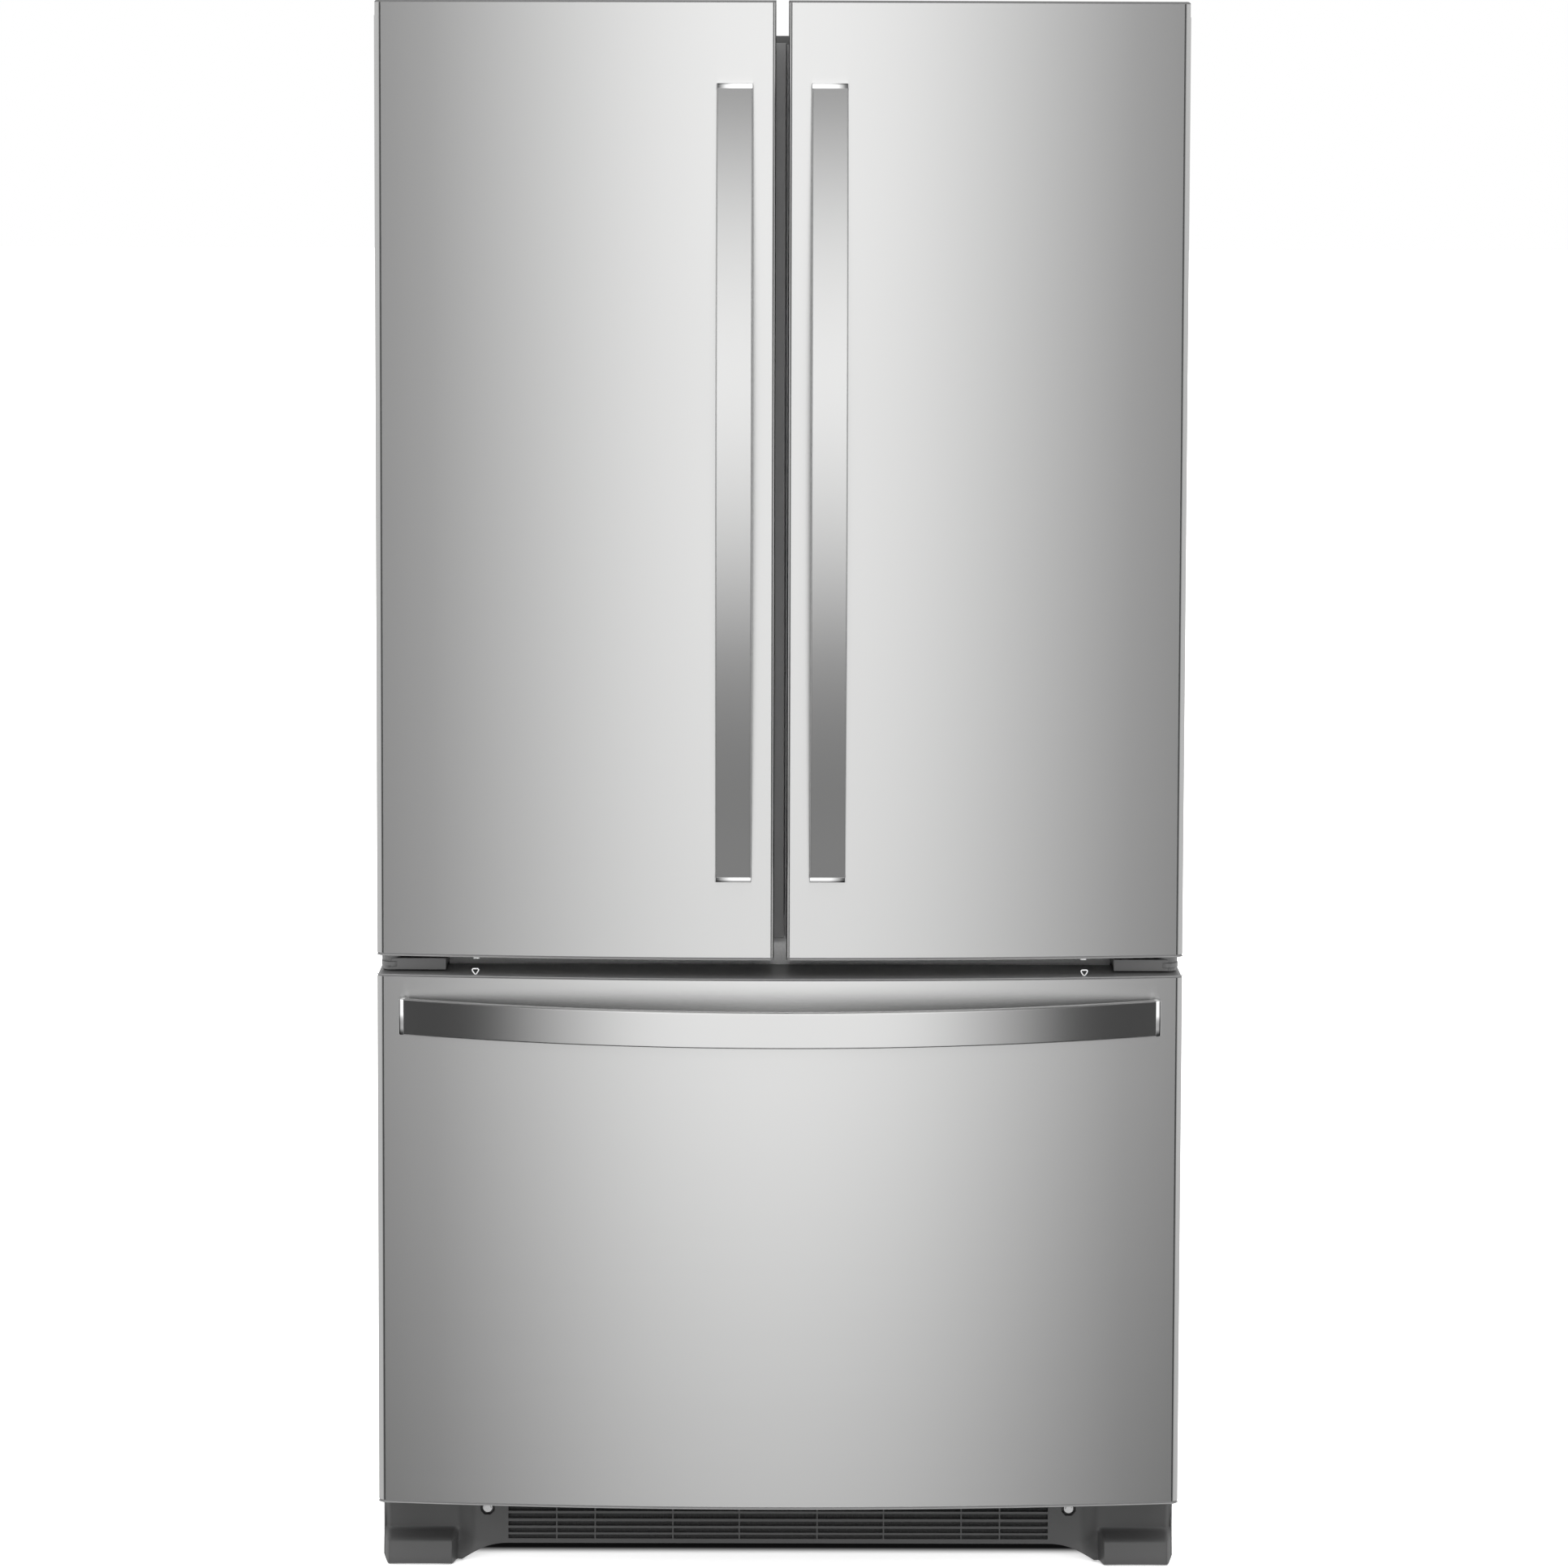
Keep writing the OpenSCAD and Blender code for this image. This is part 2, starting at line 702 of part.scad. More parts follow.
module base_grille() {
    color("dimgray") difference() {
        union() {
            along_y(grille_y, grille_y + 5) intersection() {
                grille_outline();
                translate([-grille_foot_x, 0]) square([2 * grille_foot_x, 90]);
            }
            along_y(grille_y + 7, cab_front - 0.6) difference() {
                grille_outline();
                translate([-grille_foot_x + 10, 0]) square([2 * grille_foot_x - 20, 90]);
            }
            both_sides() {
                // return between the grille panel and the set-back corner, then the foot cover
                box([grille_foot_x - 6, grille_y, 8], [grille_foot_x - 1, grille_y + 8, 83]);
                intersection() {
                    along_x(grille_foot_x + 5, half_w - 0.5)
                        polygon([[grille_y + 9, 1],
                                 [grille_y - 12, 1], [grille_y - 14, 3], [grille_y - 14, 31],
                                 [grille_y - 11, 34], [grille_y + 9, 37]]);
                    along_y(grille_y - 15, grille_y + 10)
                        round_rect([grille_foot_x, 1.5], [half_w - 1, 60], 7);
                }
            }
            for (x = [-330, -110, 110, 330]) box([x - 8, grille_y + 5, 60], [x + 8, cab_front + 4 - 0.1, 80]);
        }
        for (i = [0 : len(slot_z) - 1], j = [0 : len(slot_bars) - 2])
            box([slot_bars[j] + 0.8, grille_y - 1, slot_z[i]],
                [slot_bars[j + 1] - 0.8, grille_y + 7, slot_z[i] + slot_h[i]]);
        both_sides() translate([grille_screw.x, grille_y - 1, grille_screw.y]) rotate([-90, 0, 0])
            cylinder(h = 3, r = 7.8);
    }
}

module hex_screw(x, y, z, r) {
    translate([x, y, z]) rotate([90, 0, 0]) {
        cylinder(h = 4, r = r, $fn = 6);
        cylinder(h = 1, r = r * 1.25);
    }
}

module screws() {
    color("silver") both_sides() {
        hex_screw(grille_screw.x, grille_y + 2, grille_screw.y, 4.2);
        for (x = [396, 424]) hex_screw(x, cab_front - 3, door_bottom + 1, 3.8);
        hex_screw(336, cab_front, drawer_top + 14, 5);
    }
}

module hinge_brackets() {
    arm_z = hinge_pocket_z + 4;
    knuckle_lo = drawer_top + 1.2;
    plate_lo = drawer_top + 1.6;
    plate_hi = plate_lo + 13;
    color("gray") both_sides() {
        // top hinge: base on the cabinet, riser, arm over the door and pin down into it
        box([hinge_x - 8, cab_front + 15, cabinet_h], [hinge_x + 40, cab_front + 120, cabinet_h + 4]);
        box([hinge_x - 8, cab_front + 11, cabinet_h], [hinge_x + 8, cab_front + 15, arm_z + 4]);
        box([hinge_x - 8, hinge_y, arm_z], [hinge_x + 8, cab_front + 12, arm_z + 4]);
        translate([hinge_x, hinge_y, arm_z]) cylinder(h = 4, r = 8);
        translate([hinge_x, hinge_y, arm_z - 17]) cylinder(h = 17, r = pin_r);
        // centre hinge: plate between door and drawer, leg on the cabinet's face, pin up into the door
        box([hinge_x - 1, hinge_y - 11, plate_lo], [-376, cab_front - 3, plate_hi]);
        box([hinge_x - 9, cab_front - 3, drawer_top - 6], [-376, cab_front, door_bottom + 6]);
        translate([hinge_x, hinge_y, knuckle_lo]) cylinder(h = door_bottom - 0.8 - knuckle_lo, r = 10.5);
        translate([hinge_x, hinge_y, plate_lo + 4]) cylinder(h = 5, r = 12.5);
        translate([hinge_x, hinge_y, knuckle_lo]) cylinder(h = door_bottom + 18 - knuckle_lo, r = pin_r);
    }
}

module top_hinge_covers() {
    lo = [-half_w + 2, cab_front - 6, cabinet_h];
    hi = [-half_w + 62, cab_front + 130, total_h];
    color("dimgray") both_sides() difference() {
        translate([0, 0, lo.z]) linear_extrude(hi.z - lo.z) round_rect([lo.x, lo.y], [hi.x, hi.y], 5);
        translate([0, 0, lo.z - 1]) linear_extrude(hi.z - lo.z - 1)
            round_rect([lo.x + 2, lo.y + 2], [hi.x - 2, hi.y - 2], 3);
        box([hinge_x - 9, lo.y - 1, hinge_pocket_z + 3], [hinge_x + 9, lo.y + 3, hinge_pocket_z + 9]);
    }
}

module levelling_leg() {
    color("gray") translate([-leg_x, leg_y, 0]) {
        cylinder(h = 8, r = 20);
        cylinder(h = 84, r = 6);
        translate([0, 0, 8]) cylinder(h = 7, r = 11, $fn = 6);
    }
}

module rear_rollers() {
    color("black") both_sides() translate([377, roller_y, roller_r]) rotate([0, 90, 0]) difference() {
        cylinder(h = 22, r = roller_r);
        translate([0, 0, -1]) cylinder(h = 24, r = 4 + run_gap);
    }
}

// ---------------------------------------------------------------- machine room

module machine_cover() {
    y0 = cab_back - 8;
    lo = chassis_z + 4;
    color("gray") difference() {
        union() {
            box([-half_w + 3, y0, lo], [half_w - 3, y0 + 2, machine_hi - 1]);
            // gland of the power cord
            translate([-360, y0, 250]) rotate([-90, 0, 0]) cylinder(h = 8, r = 11);
        }
        for (i = [0 : 7], x = [-200, 0, 200])
            box([x - 80, y0 - 1, 80 + 22 * i], [x + 80, y0 + 3, 88 + 22 * i]);
        translate([-360, y0 - 1, 250]) rotate([-90, 0, 0]) cylinder(h = 10, r = 4.5);
    }
}

module compressor() {
    r = 80;
    color([0.12, 0.12, 0.13]) translate(compressor_c) {
        intersection() {
            translate([0, 0, 142]) sphere(r = 96);
            translate([0, 0, 52]) cylinder(h = 190, r = r);
        }
        translate([-100, -60, 46]) cube([200, 120, 6]);
        for (x = [-85, 85], y = [-45, 45]) translate([x, y, chassis_z + 3]) cylinder(h = 16, r = 11);
        translate([60, -20, 150]) cube([36, 40, 50]);
    }
}

coil_x = [100, 340];
coil_tube = 4.5;

coil_pitch = 34;
coil_rows = 6;
coil_z = 70;

module condenser_coil() {
    color([0.15, 0.15, 0.16]) for (y = [250, 360]) {
        for (i = [0 : coil_rows - 1])
            translate([coil_x[0] - 1, y, coil_z + i * coil_pitch]) rotate([0, 90, 0])
                cylinder(h = coil_x[1] - coil_x[0] + 2, r = coil_tube);
        // return bends, brazed over the tubes' ends
        for (i = [0 : coil_rows - 2])
            translate([coil_x[(i + 1) % 2], y, coil_z + (i + 0.5) * coil_pitch])
                rotate([90, 0, 0]) rotate([0, 0, i % 2 ? 90 : -90])
                    rotate_extrude(angle = 180) translate([coil_pitch / 2, 0]) circle(coil_tube + 0.5);
        for (x = [130, 220, 310]) box([x - 1, y - 6, 62], [x + 1, y + 6, 248]);
    }
}

module condenser_fan_housing() {
    color("dimgray") {
        difference() {
            union() {
                box([18, fan_c.y - 90, chassis_z + 3], [21, fan_c.y + 90, fan_c.z + 90]);
                translate([18, fan_c.y, fan_c.z]) rotate([0, 90, 0]) cylinder(h = 12, r = 84);
            }
            translate([10, fan_c.y, fan_c.z]) rotate([0, 90, 0]) cylinder(h = 30, r = 80);
        }
        // motor on three arms
        difference() {
            union() {
                translate([24, fan_c.y, fan_c.z]) rotate([0, 90, 0]) cylinder(h = 32, r = 22);
                for (a = [90, 210, 330]) translate([24, fan_c.y, fan_c.z]) rotate([a, 0, 0])
                    translate([0, -4, 15]) cube([5, 8, 67]);
            }
            translate([20, fan_c.y, fan_c.z]) rotate([0, 90, 0]) cylinder(h = 16, r = fan_shaft_r + run_gap);
        }
    }
}

// Fan with its shaft along +Z from z0 to z1: hub and tilted blades
fan_shaft_r = 3;

module fan(radius, hub_r, blades, z0, z1) {
    cylinder(h = 16, r = hub_r);
    translate([0, 0, z0]) cylinder(h = z1 - z0, r = fan_shaft_r);
    for (i = [0 : blades - 1]) rotate([0, 0, i * 360 / blades])
        translate([hub_r - 2, 0, 8]) rotate([32, 0, 0]) translate([0, -radius * 0.2, -0.8])
            cube([radius - hub_r - 2, radius * 0.4, 1.6]);
}

module condenser_fan() {
    color("dimgray") translate([-2, fan_c.y, fan_c.z]) rotate([0, 90, 0]) fan(72, 16, 5, -1, 31);
}

module drain_pan() {
    color("dimgray") tray([90, 215, chassis_z + 3.1], [360, 400, chassis_z + 22], 2, 10);
}

module evaporator_coil() {
    rows = [400, 430, 460];
    color("silver") {
        for (y = [354, 380], z = rows) translate([-340, y, z]) rotate([0, 90, 0]) cylinder(h = 680, r = 4);
        for (i = [0 : 16]) box([-322 + i * 40, 344, 388], [-321 + i * 40, 392, 472]);
    }
}

module evaporator_cover() {
    color("white") {
        difference() {
            union() {
                box([-inner_hw + 0.5, evaporator_y, step_z + 0.5],
                    [inner_hw - 0.5, evaporator_y + 3, freezer_hi - 0.5]);
                translate([0, evaporator_y, evap_fan_z]) rotate([-90, 0, 0]) cylinder(h = 12, r = 66);
            }
            translate([0, evaporator_y - 1, evap_fan_z]) rotate([-90, 0, 0]) cylinder(h = 20, r = 62);
            for (s = [-1, 1], i = [0 : 4])
                box([s * 240 - 90, evaporator_y - 1, 380 + 14 * i],
                    [s * 240 + 90, evaporator_y + 4, 386 + 14 * i]);
        }
        // guard bars across the fan opening, and the fan's bearing behind them
        difference() {
            translate([0, evaporator_y, evap_fan_z]) {
                for (a = [0, 60, 120]) rotate([0, a, 0]) box([-64, 0, -2], [64, 3, 2]);
                rotate([-90, 0, 0]) cylinder(h = 10, r = 9);
            }
            translate([0, evaporator_y + 2, evap_fan_z]) rotate([-90, 0, 0])
                cylinder(h = 10, r = fan_shaft_r + run_gap);
        }
    }
}

module evaporator_fan() {
    color("dimgray") translate([0, evaporator_y + 11, evap_fan_z]) rotate([-90, 0, 0])
        fan(56, 13, 5, -8.5, 24);
}

// ---------------------------------------------------------------- fridge interior

half_shelf = [[-inner_hw + 4, -4], [4, inner_hw - 4]];
shelf_frame_w = 12;
shelf_back = inner_back - 17;

module shelf_glass(x0, x1, z) {
    w = shelf_frame_w;
    box([x0 + w + fit, shelf_front + w + fit, z], [x1 - w - fit, shelf_back - w - fit, z + glass_t]);
}

module shelf_frame(x0, x1, z) {
    w = shelf_frame_w;
    difference() {
        box([x0, shelf_front, z - 8], [x1, shelf_back, z + glass_t + 2]);
        box([x0 + w, shelf_front + w, z - 9], [x1 - w, shelf_back - w, z + glass_t + 3]);
    }
    // ledge under the pane
    difference() {
        box([x0 + w, shelf_front + w, z - 3], [x1 - w, shelf_back - w, z - 0.1]);
        box([x0 + w + 6, shelf_front + w + 6, z - 4], [x1 - w - 6, shelf_back - w - 6, z + 1]);
    }
}

module glass_shelves() {
    color([0.8, 0.9, 0.9, 0.5]) {
        for (z = shelf_z, s = half_shelf) shelf_glass(s[0], s[1], z);
        shelf_glass(-inner_hw + 4, inner_hw - 4, crisper_cover_z);
    }
}

module shelf_frames() {
    color("white") {
        for (z = shelf_z, s = half_shelf) shelf_frame(s[0], s[1], z);
        // arms that hook into the tracks
        for (z = shelf_z, x = track_x) both_sides()
            box([x - 2, 140, z - 24], [x + 2, inner_back - 6.1, z - 2]);
        shelf_frame(-inner_hw + 4, inner_hw - 4, crisper_cover_z);
        // centre support of the crisper shelf
        box([-2, crisper_front + 6, fridge_lo + 0.1], [2, 330, crisper_cover_z - 8]);
    }
}

module crisper_left() {
    color([0.85, 0.88, 0.9]) {
        tray([-inner_hw + 6, crisper_front, crisper_z], [-6, 330, crisper_z + crisper_h], 2.5, 14);
        box([-inner_hw + 16, crisper_front - 10, crisper_z + crisper_h - 30],
            [-16, crisper_front + 1, crisper_z + crisper_h]);
    }
}

housing = [[-150, -160, 1652], [150, 60, fridge_hi - 0.1]];
button_w = 24;
button_h = 10;
button_z = 1676;

module control_housing() {
    lo = housing[0];
    hi = housing[1];
    color("whitesmoke") difference() {
        box(lo, hi);
        box(lo + [2.5, 2.5, 2.5], hi - [2.5, 2.5, 2.5]);
        for (x = [-40, 40])
            box([x - button_w / 2 - 0.3, lo.y - 1, button_z - button_h / 2 - 0.3],
                [x + button_w / 2 + 0.3, lo.y + 4, button_z + button_h / 2 + 0.3]);
    }
}

module temp_button(x) {
    y0 = housing[0].y;
    color("lightgray") {
        box([x - button_w / 2, y0 - 2, button_z - button_h / 2],
            [x + button_w / 2, y0 + 5, button_z + button_h / 2]);
        box([x - button_w / 2 - 3, y0 + 2.8, button_z - button_h / 2 - 3],
            [x + button_w / 2 + 3, y0 + 5, button_z + button_h / 2 + 3]);
    }
}

module light_lens() {
    color([1, 1, 0.95]) translate([0, 0, housing[0].z - 4]) linear_extrude(3.9)
        round_rect([-110, -120], [110, 20], 12);
}

// ---------------------------------------------------------------- nodes

cabinet_shell();
cabinet_insulation();
fridge_liner();
freezer_liner();
center_rail();
rear_panel();
base_chassis();
base_grille();
machine_cover();
screws();
compressor();
condenser_coil();
condenser_fan_housing();
condenser_fan();
drain_pan();
evaporator_coil();
evaporator_cover();
evaporator_fan();
hinge_brackets();
top_hinge_covers();
levelling_leg();  // levelling_leg_left
on_side(true) levelling_leg();  // levelling_leg_right
rear_rollers();
glass_shelves();
shelf_frames();
control_housing();
light_lens();
temp_button(-40);  // fridge_temp_button
temp_button(40);  // freezer_temp_button
crisper_left();
on_side(true) crisper_left();  // crisper_right
door_skin();  // left_door_skin
door_end_caps();  // left_door_end_caps
door_insulation();  // left_door_insulation
color("white") door_liner(true);  // left_door_liner
door_gasket(true);  // left_door_gasket
door_bins();  // left_door_bins
door_handle_bar();  // left_handle_bar
door_handle_feet();  // left_handle_feet
flipper_mullion();
on_side(true) door_skin();  // right_door_skin
on_side(true) door_end_caps();  // right_door_end_caps
on_side(true) door_insulation();  // right_door_insulation
on_side(true) color("white") door_liner(false);  // right_door_liner
on_side(true) door_gasket(false);  // right_door_gasket
on_side(true) door_bins();  // right_door_bins
on_side(true) door_handle_bar();  // right_handle_bar
on_side(true) door_handle_feet();  // right_handle_feet
drawer_skin();
drawer_end_caps();
drawer_insulation();
drawer_liner();
drawer_gasket();
drawer_handle_bar();
drawer_handle_feet();
slide_outer_rails();
slide_middle_rails();
slide_inner_rails();
lower_basket();
upper_basket();
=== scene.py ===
"""Looks of the french door refrigerator: materials, fine details, studio and camera around the CAD frame."""

import json
import math

import bmesh
import bpy
from mathutils import Matrix, Vector


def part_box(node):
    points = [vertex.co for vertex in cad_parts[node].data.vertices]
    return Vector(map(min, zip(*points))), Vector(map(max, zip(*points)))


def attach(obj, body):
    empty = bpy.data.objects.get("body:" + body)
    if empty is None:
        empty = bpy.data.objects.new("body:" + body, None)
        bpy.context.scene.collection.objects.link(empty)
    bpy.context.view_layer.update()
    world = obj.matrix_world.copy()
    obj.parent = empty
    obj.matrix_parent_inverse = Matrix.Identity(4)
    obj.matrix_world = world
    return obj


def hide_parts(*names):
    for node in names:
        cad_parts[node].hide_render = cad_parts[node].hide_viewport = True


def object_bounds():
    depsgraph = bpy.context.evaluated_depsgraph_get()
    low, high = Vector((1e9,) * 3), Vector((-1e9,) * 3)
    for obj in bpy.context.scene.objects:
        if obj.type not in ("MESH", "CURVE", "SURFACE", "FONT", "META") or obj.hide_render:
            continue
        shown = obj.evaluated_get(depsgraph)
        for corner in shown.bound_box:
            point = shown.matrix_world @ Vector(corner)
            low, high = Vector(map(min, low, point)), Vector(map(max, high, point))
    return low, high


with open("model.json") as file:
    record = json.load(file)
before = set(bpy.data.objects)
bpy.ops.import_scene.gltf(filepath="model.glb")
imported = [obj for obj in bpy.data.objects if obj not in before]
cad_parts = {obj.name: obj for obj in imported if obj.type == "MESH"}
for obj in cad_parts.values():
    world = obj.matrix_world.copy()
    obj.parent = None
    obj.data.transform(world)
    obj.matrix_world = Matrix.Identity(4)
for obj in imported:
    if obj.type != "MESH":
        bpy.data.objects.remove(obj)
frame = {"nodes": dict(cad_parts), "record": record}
cad_bounds = [list(corner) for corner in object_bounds()]
NODES = frame["nodes"]
SCENE = bpy.context.scene
MM = 0.001


# ---------------------------------------------------------------- node helpers

class Nodes:
    """A short way to write node trees. All but add and finish return an output."""

    def __init__(self, tree):
        self.tree = tree
        tree.nodes.clear()

    def add(self, kind, inputs=None, **settings):
        """A new node, with its inputs set to values or linked to outputs."""
        node = self.tree.nodes.new(kind)
        for name, value in settings.items():
            setattr(node, name, value)
        for name, value in (inputs or {}).items():
            if isinstance(value, bpy.types.NodeSocket):
                self.tree.links.new(value, node.inputs[name])
            else:
                node.inputs[name].default_value = value
        return node

    def math(self, operation, a, b=0.0, c=0.0):
        """One arithmetic step on values or outputs."""
        return self.add("ShaderNodeMath", {0: a, 1: b, 2: c}, operation=operation).outputs[0]

    def split(self, vector):
        """The x, y and z outputs of a vector."""
        return self.add("ShaderNodeSeparateXYZ", {0: vector}).outputs

    def place(self):
        """Where a point lies in its object."""
        return self.add("ShaderNodeTexCoord").outputs["Object"]

    def tinted(self, color, scale):
        """A colour times a varying factor."""
        return self.add("ShaderNodeVectorMath", {0: color, "Scale": scale}, operation="SCALE").outputs[0]

    def bump(self, height, distance=1.0, normal=None):
        """A normal tilted by the slope of a height."""
        inputs = {"Height": height, "Strength": 1.0, "Distance": distance}
        if normal:
            inputs["Normal"] = normal
        return self.add("ShaderNodeBump", inputs).outputs[0]

    def finish(self, inputs):
        """The surface shader, from its inputs, into the material's output."""
        shader = self.add("ShaderNodeBsdfPrincipled", inputs)
        self.add("ShaderNodeOutputMaterial", {"Surface": shader.outputs[0]})

    def ramp(self, factor, stops):
        """Grey values along a factor, as (position, value) pairs."""
        node = self.add("ShaderNodeValToRGB", {"Fac": factor})
        elements = node.color_ramp.elements
        while len(elements) < len(stops):
            elements.new(0.5)
        for element, (position, value) in zip(elements, stops):
            element.position = position
            element.color = (value, value, value, 1)
        return node.outputs["Color"]

    def noise(self, place, scale, detail=2.0, stretch=(1, 1, 1)):
        """Noise between 0 and 1, stretched along the axes."""
        spot = self.add("ShaderNodeMapping", {"Vector": place, "Scale": stretch}).outputs[0]
        inputs = {"Vector": spot, "Scale": scale, "Detail": detail}
        return self.add("ShaderNodeTexNoise", inputs).outputs["Fac"]

    def around(self, noise, middle, swing):
        """middle, give or take swing, as a noise of mean one half varies."""
        return self.math("MULTIPLY_ADD", self.math("SUBTRACT", noise, 0.5), 2 * swing, middle)


def rgb(level, tint=(1.0, 1.0, 1.0)):
    """A colour from its brightness and its tint."""
    return (level * tint[0], level * tint[1], level * tint[2], 1.0)


def new_material(name):
    """An empty material and the helper that writes its nodes."""
    mat = bpy.data.materials.new(name)
    mat.use_nodes = True
    return mat, Nodes(mat.node_tree)


BROAD_SCALE = 7.0          # of the slow variation over a whole moulding
GRAIN_ROUGHNESS = 0.2      # share by which fine grain varies a moulding's roughness


def plastic(name, color, roughness, metallic=0.0, bump=0.0, bump_scale=300.0, mottle=0.03, edge=0.0,
            pebble=False, transmission=0.0, ior=1.5):
    """A moulded, painted or cast finish: fine grain, broad variation and softened edges."""
    mat, n = new_material(name)
    place = n.place()
    fine = n.noise(place, bump_scale, 3.0)
    broad = n.noise(place, BROAD_SCALE)
    shade = n.math("MULTIPLY", n.around(fine, 1.0, mottle), n.around(broad, 1.0, mottle))
    inputs = {
        "Base Color": n.tinted(color[:3], shade), "Metallic": metallic,
        "Roughness": n.around(fine, roughness, roughness * GRAIN_ROUGHNESS)}
    if transmission:
        inputs.update({"Transmission Weight": transmission, "IOR": ior})
    normal = n.add("ShaderNodeBevel", {"Radius": edge}, samples=4).outputs[0] if edge else None
    if bump:
        height = fine
        if pebble:
            cells = n.add("ShaderNodeTexVoronoi", {"Vector": place, "Scale": bump_scale},
                          feature="SMOOTH_F1")
            height = n.math("MULTIPLY", cells.outputs["Distance"], -1.0)
        normal = n.bump(height, bump, normal)
    if normal:
        inputs["Normal"] = normal
    n.finish(inputs)
    return mat


FLATTEN_REACH = 0.13       # metres from a bar's middle within which its curve is eased
CROWN_RADIUS = 7.5         # metres, of a panel's slight upright bulge
STREAK = 0.025             # share by which the grain varies the steel's brightness


def brushed_steel(name, grain, level, roughness, uv=False, flatten=0.0, crown=0.0):
    """Stainless steel brushed along an axis, so that its reflections spread across the grain.

    flatten is how far the curve of a bowed bar is eased towards its middle, as a slope.
    crown is the height at which a panel's slight bulge stands upright.
    """
    mat, n = new_material(name)
    place = n.place()
    fine = n.noise(place, 1.0, 3.0, [5.0 if i == grain else 1400.0 for i in range(3)])
    soft = n.noise(place, 1.0, 2.0, [1.5 if i == grain else 110.0 for i in range(3)])
    both = n.math("ADD", n.math("MULTIPLY", fine, 0.65), n.math("MULTIPLY", soft, 0.35))
    height = None
    if flatten:
        bowl = n.math("COSH", n.math("DIVIDE", n.split(place)[0], FLATTEN_REACH))
        height = n.math("MULTIPLY", n.math("LOGARITHM", bowl, math.e), flatten * FLATTEN_REACH)
    if crown:
        up = n.math("SUBTRACT", n.split(place)[2], crown)
        height = n.math("MULTIPLY", n.math("MULTIPLY", up, up), -1 / (2 * CROWN_RADIUS))
    if uv:
        tangent = n.add("ShaderNodeTangent", direction_type="UV_MAP", uv_map="across")
    else:
        tangent = n.add("ShaderNodeTangent", direction_type="RADIAL", axis="Z")
    inputs = {
        "Base Color": n.tinted((level, level, level * 0.995), n.around(both, 1.0, STREAK)),
        "Roughness": n.around(both, roughness, roughness * 0.03), "Metallic": 1.0, "Anisotropic": 0.9,
        "Anisotropic Rotation": 0.0 if uv else 0.25, "Tangent": tangent.outputs[0]}
    if height:
        inputs["Normal"] = n.bump(height)
    n.finish(inputs)
    return mat


def crowned_chrome(name, axis, start, side, curve, lean, middle):
    """Bright plating on a face that falls away beyond start along an axis, on the side +1 or -1.

    lean turns the faces at both ends of the bar a little towards its middle.
    """
    mat, n = new_material(name)
    place = n.place()
    across, along = n.split(place)[axis], n.split(place)[2 - axis]
    beyond = n.math("MAXIMUM", n.math("MULTIPLY", n.math("SUBTRACT", across, start), side), 0.0)
    drop = n.math("MULTIPLY", n.math("MULTIPLY", beyond, beyond), -curve)
    drop = n.math("MULTIPLY_ADD", n.math("ABSOLUTE", n.math("SUBTRACT", along, middle)), lean, drop)
    wear = n.noise(place, 400.0)
    n.finish({
        "Base Color": n.tinted((0.9, 0.9, 0.9), n.around(wear, 1.0, 0.01)),
        "Roughness": n.around(wear, 0.08, 0.02), "Metallic": 1.0, "Normal": n.bump(drop)})
    return mat


# ---------------------------------------------------------------- materials

STEEL_FRONT = brushed_steel("steel_front", 0, 0.625, 0.27)
STEEL_DRAWER = brushed_steel("steel_drawer", 0, 0.615, 0.26, crown=0.36)
STEEL_HANDLE = brushed_steel("steel_handle", 2, 0.62, 0.24, uv=True)
STEEL_DRAWER_HANDLE = brushed_steel("steel_drawer_handle", 0, 0.66, 0.24, uv=True, flatten=0.105)
CHROME = plastic("chrome", rgb(0.85), 0.08, metallic=1.0, mottle=0.01)
CABINET = plastic("cabinet_paint", rgb(0.15), 0.45, bump=0.00012, bump_scale=520.0, mottle=0.05, edge=0.001,
                  pebble=True)
RAIL = plastic("rail_plastic", rgb(0.72), 0.5, bump=0.0002, bump_scale=380.0, mottle=0.12, pebble=True)
DARK = plastic("dark_plastic", rgb(0.36), 0.45, bump=0.0002, bump_scale=380.0, mottle=0.2, pebble=True)
CAP = plastic("cap_plastic", rgb(0.10), 0.40, bump=0.00004, bump_scale=900.0, mottle=0.08, edge=0.0006)
LIP = plastic("lip_plastic", rgb(0.16), 0.35, bump=0.00003, bump_scale=900.0, mottle=0.06)
GRILLE = plastic("grille_plastic", rgb(0.048), 0.42, bump=0.00003, bump_scale=1200.0, mottle=0.04,
                 edge=0.0008)
# painted shade: a near-black sheet behind the toe grille's slots stands in for the shade in them
SLOT_SHADE = plastic("slot_shade_plastic", rgb(0.025), 0.7, mottle=0.1)
WHITE = plastic("white_liner", rgb(0.78, (0.99, 1.0, 1.0)), 0.26, bump=0.00002, bump_scale=150.0,
                mottle=0.012, edge=0.003)
WHITE_TRIM = plastic("white_plastic", rgb(0.74, (0.99, 1.0, 1.0)), 0.30, bump=0.00002, bump_scale=300.0,
                     mottle=0.015, edge=0.0015)
CLEAR = plastic("clear_plastic", rgb(0.97, (0.985, 0.995, 1.0)), 0.06, mottle=0.01, transmission=0.95,
                ior=1.46)
FROSTED = plastic("basket_plastic", rgb(0.80, (0.98, 1.0, 1.0)), 0.35, mottle=0.02, transmission=0.35,
                  ior=1.46)
GLASS = plastic("glass", rgb(0.98, (0.98, 1.0, 0.99)), 0.02, mottle=0.01, transmission=1.0, ior=1.5)
GASKET = plastic("gasket", rgb(0.42), 0.65, bump=0.00005, bump_scale=500.0, mottle=0.06, edge=0.0015)
FOAM = plastic("foam", rgb(0.62, (1.0, 0.9, 0.66)), 0.9, bump=0.0004, bump_scale=180.0, mottle=0.1)
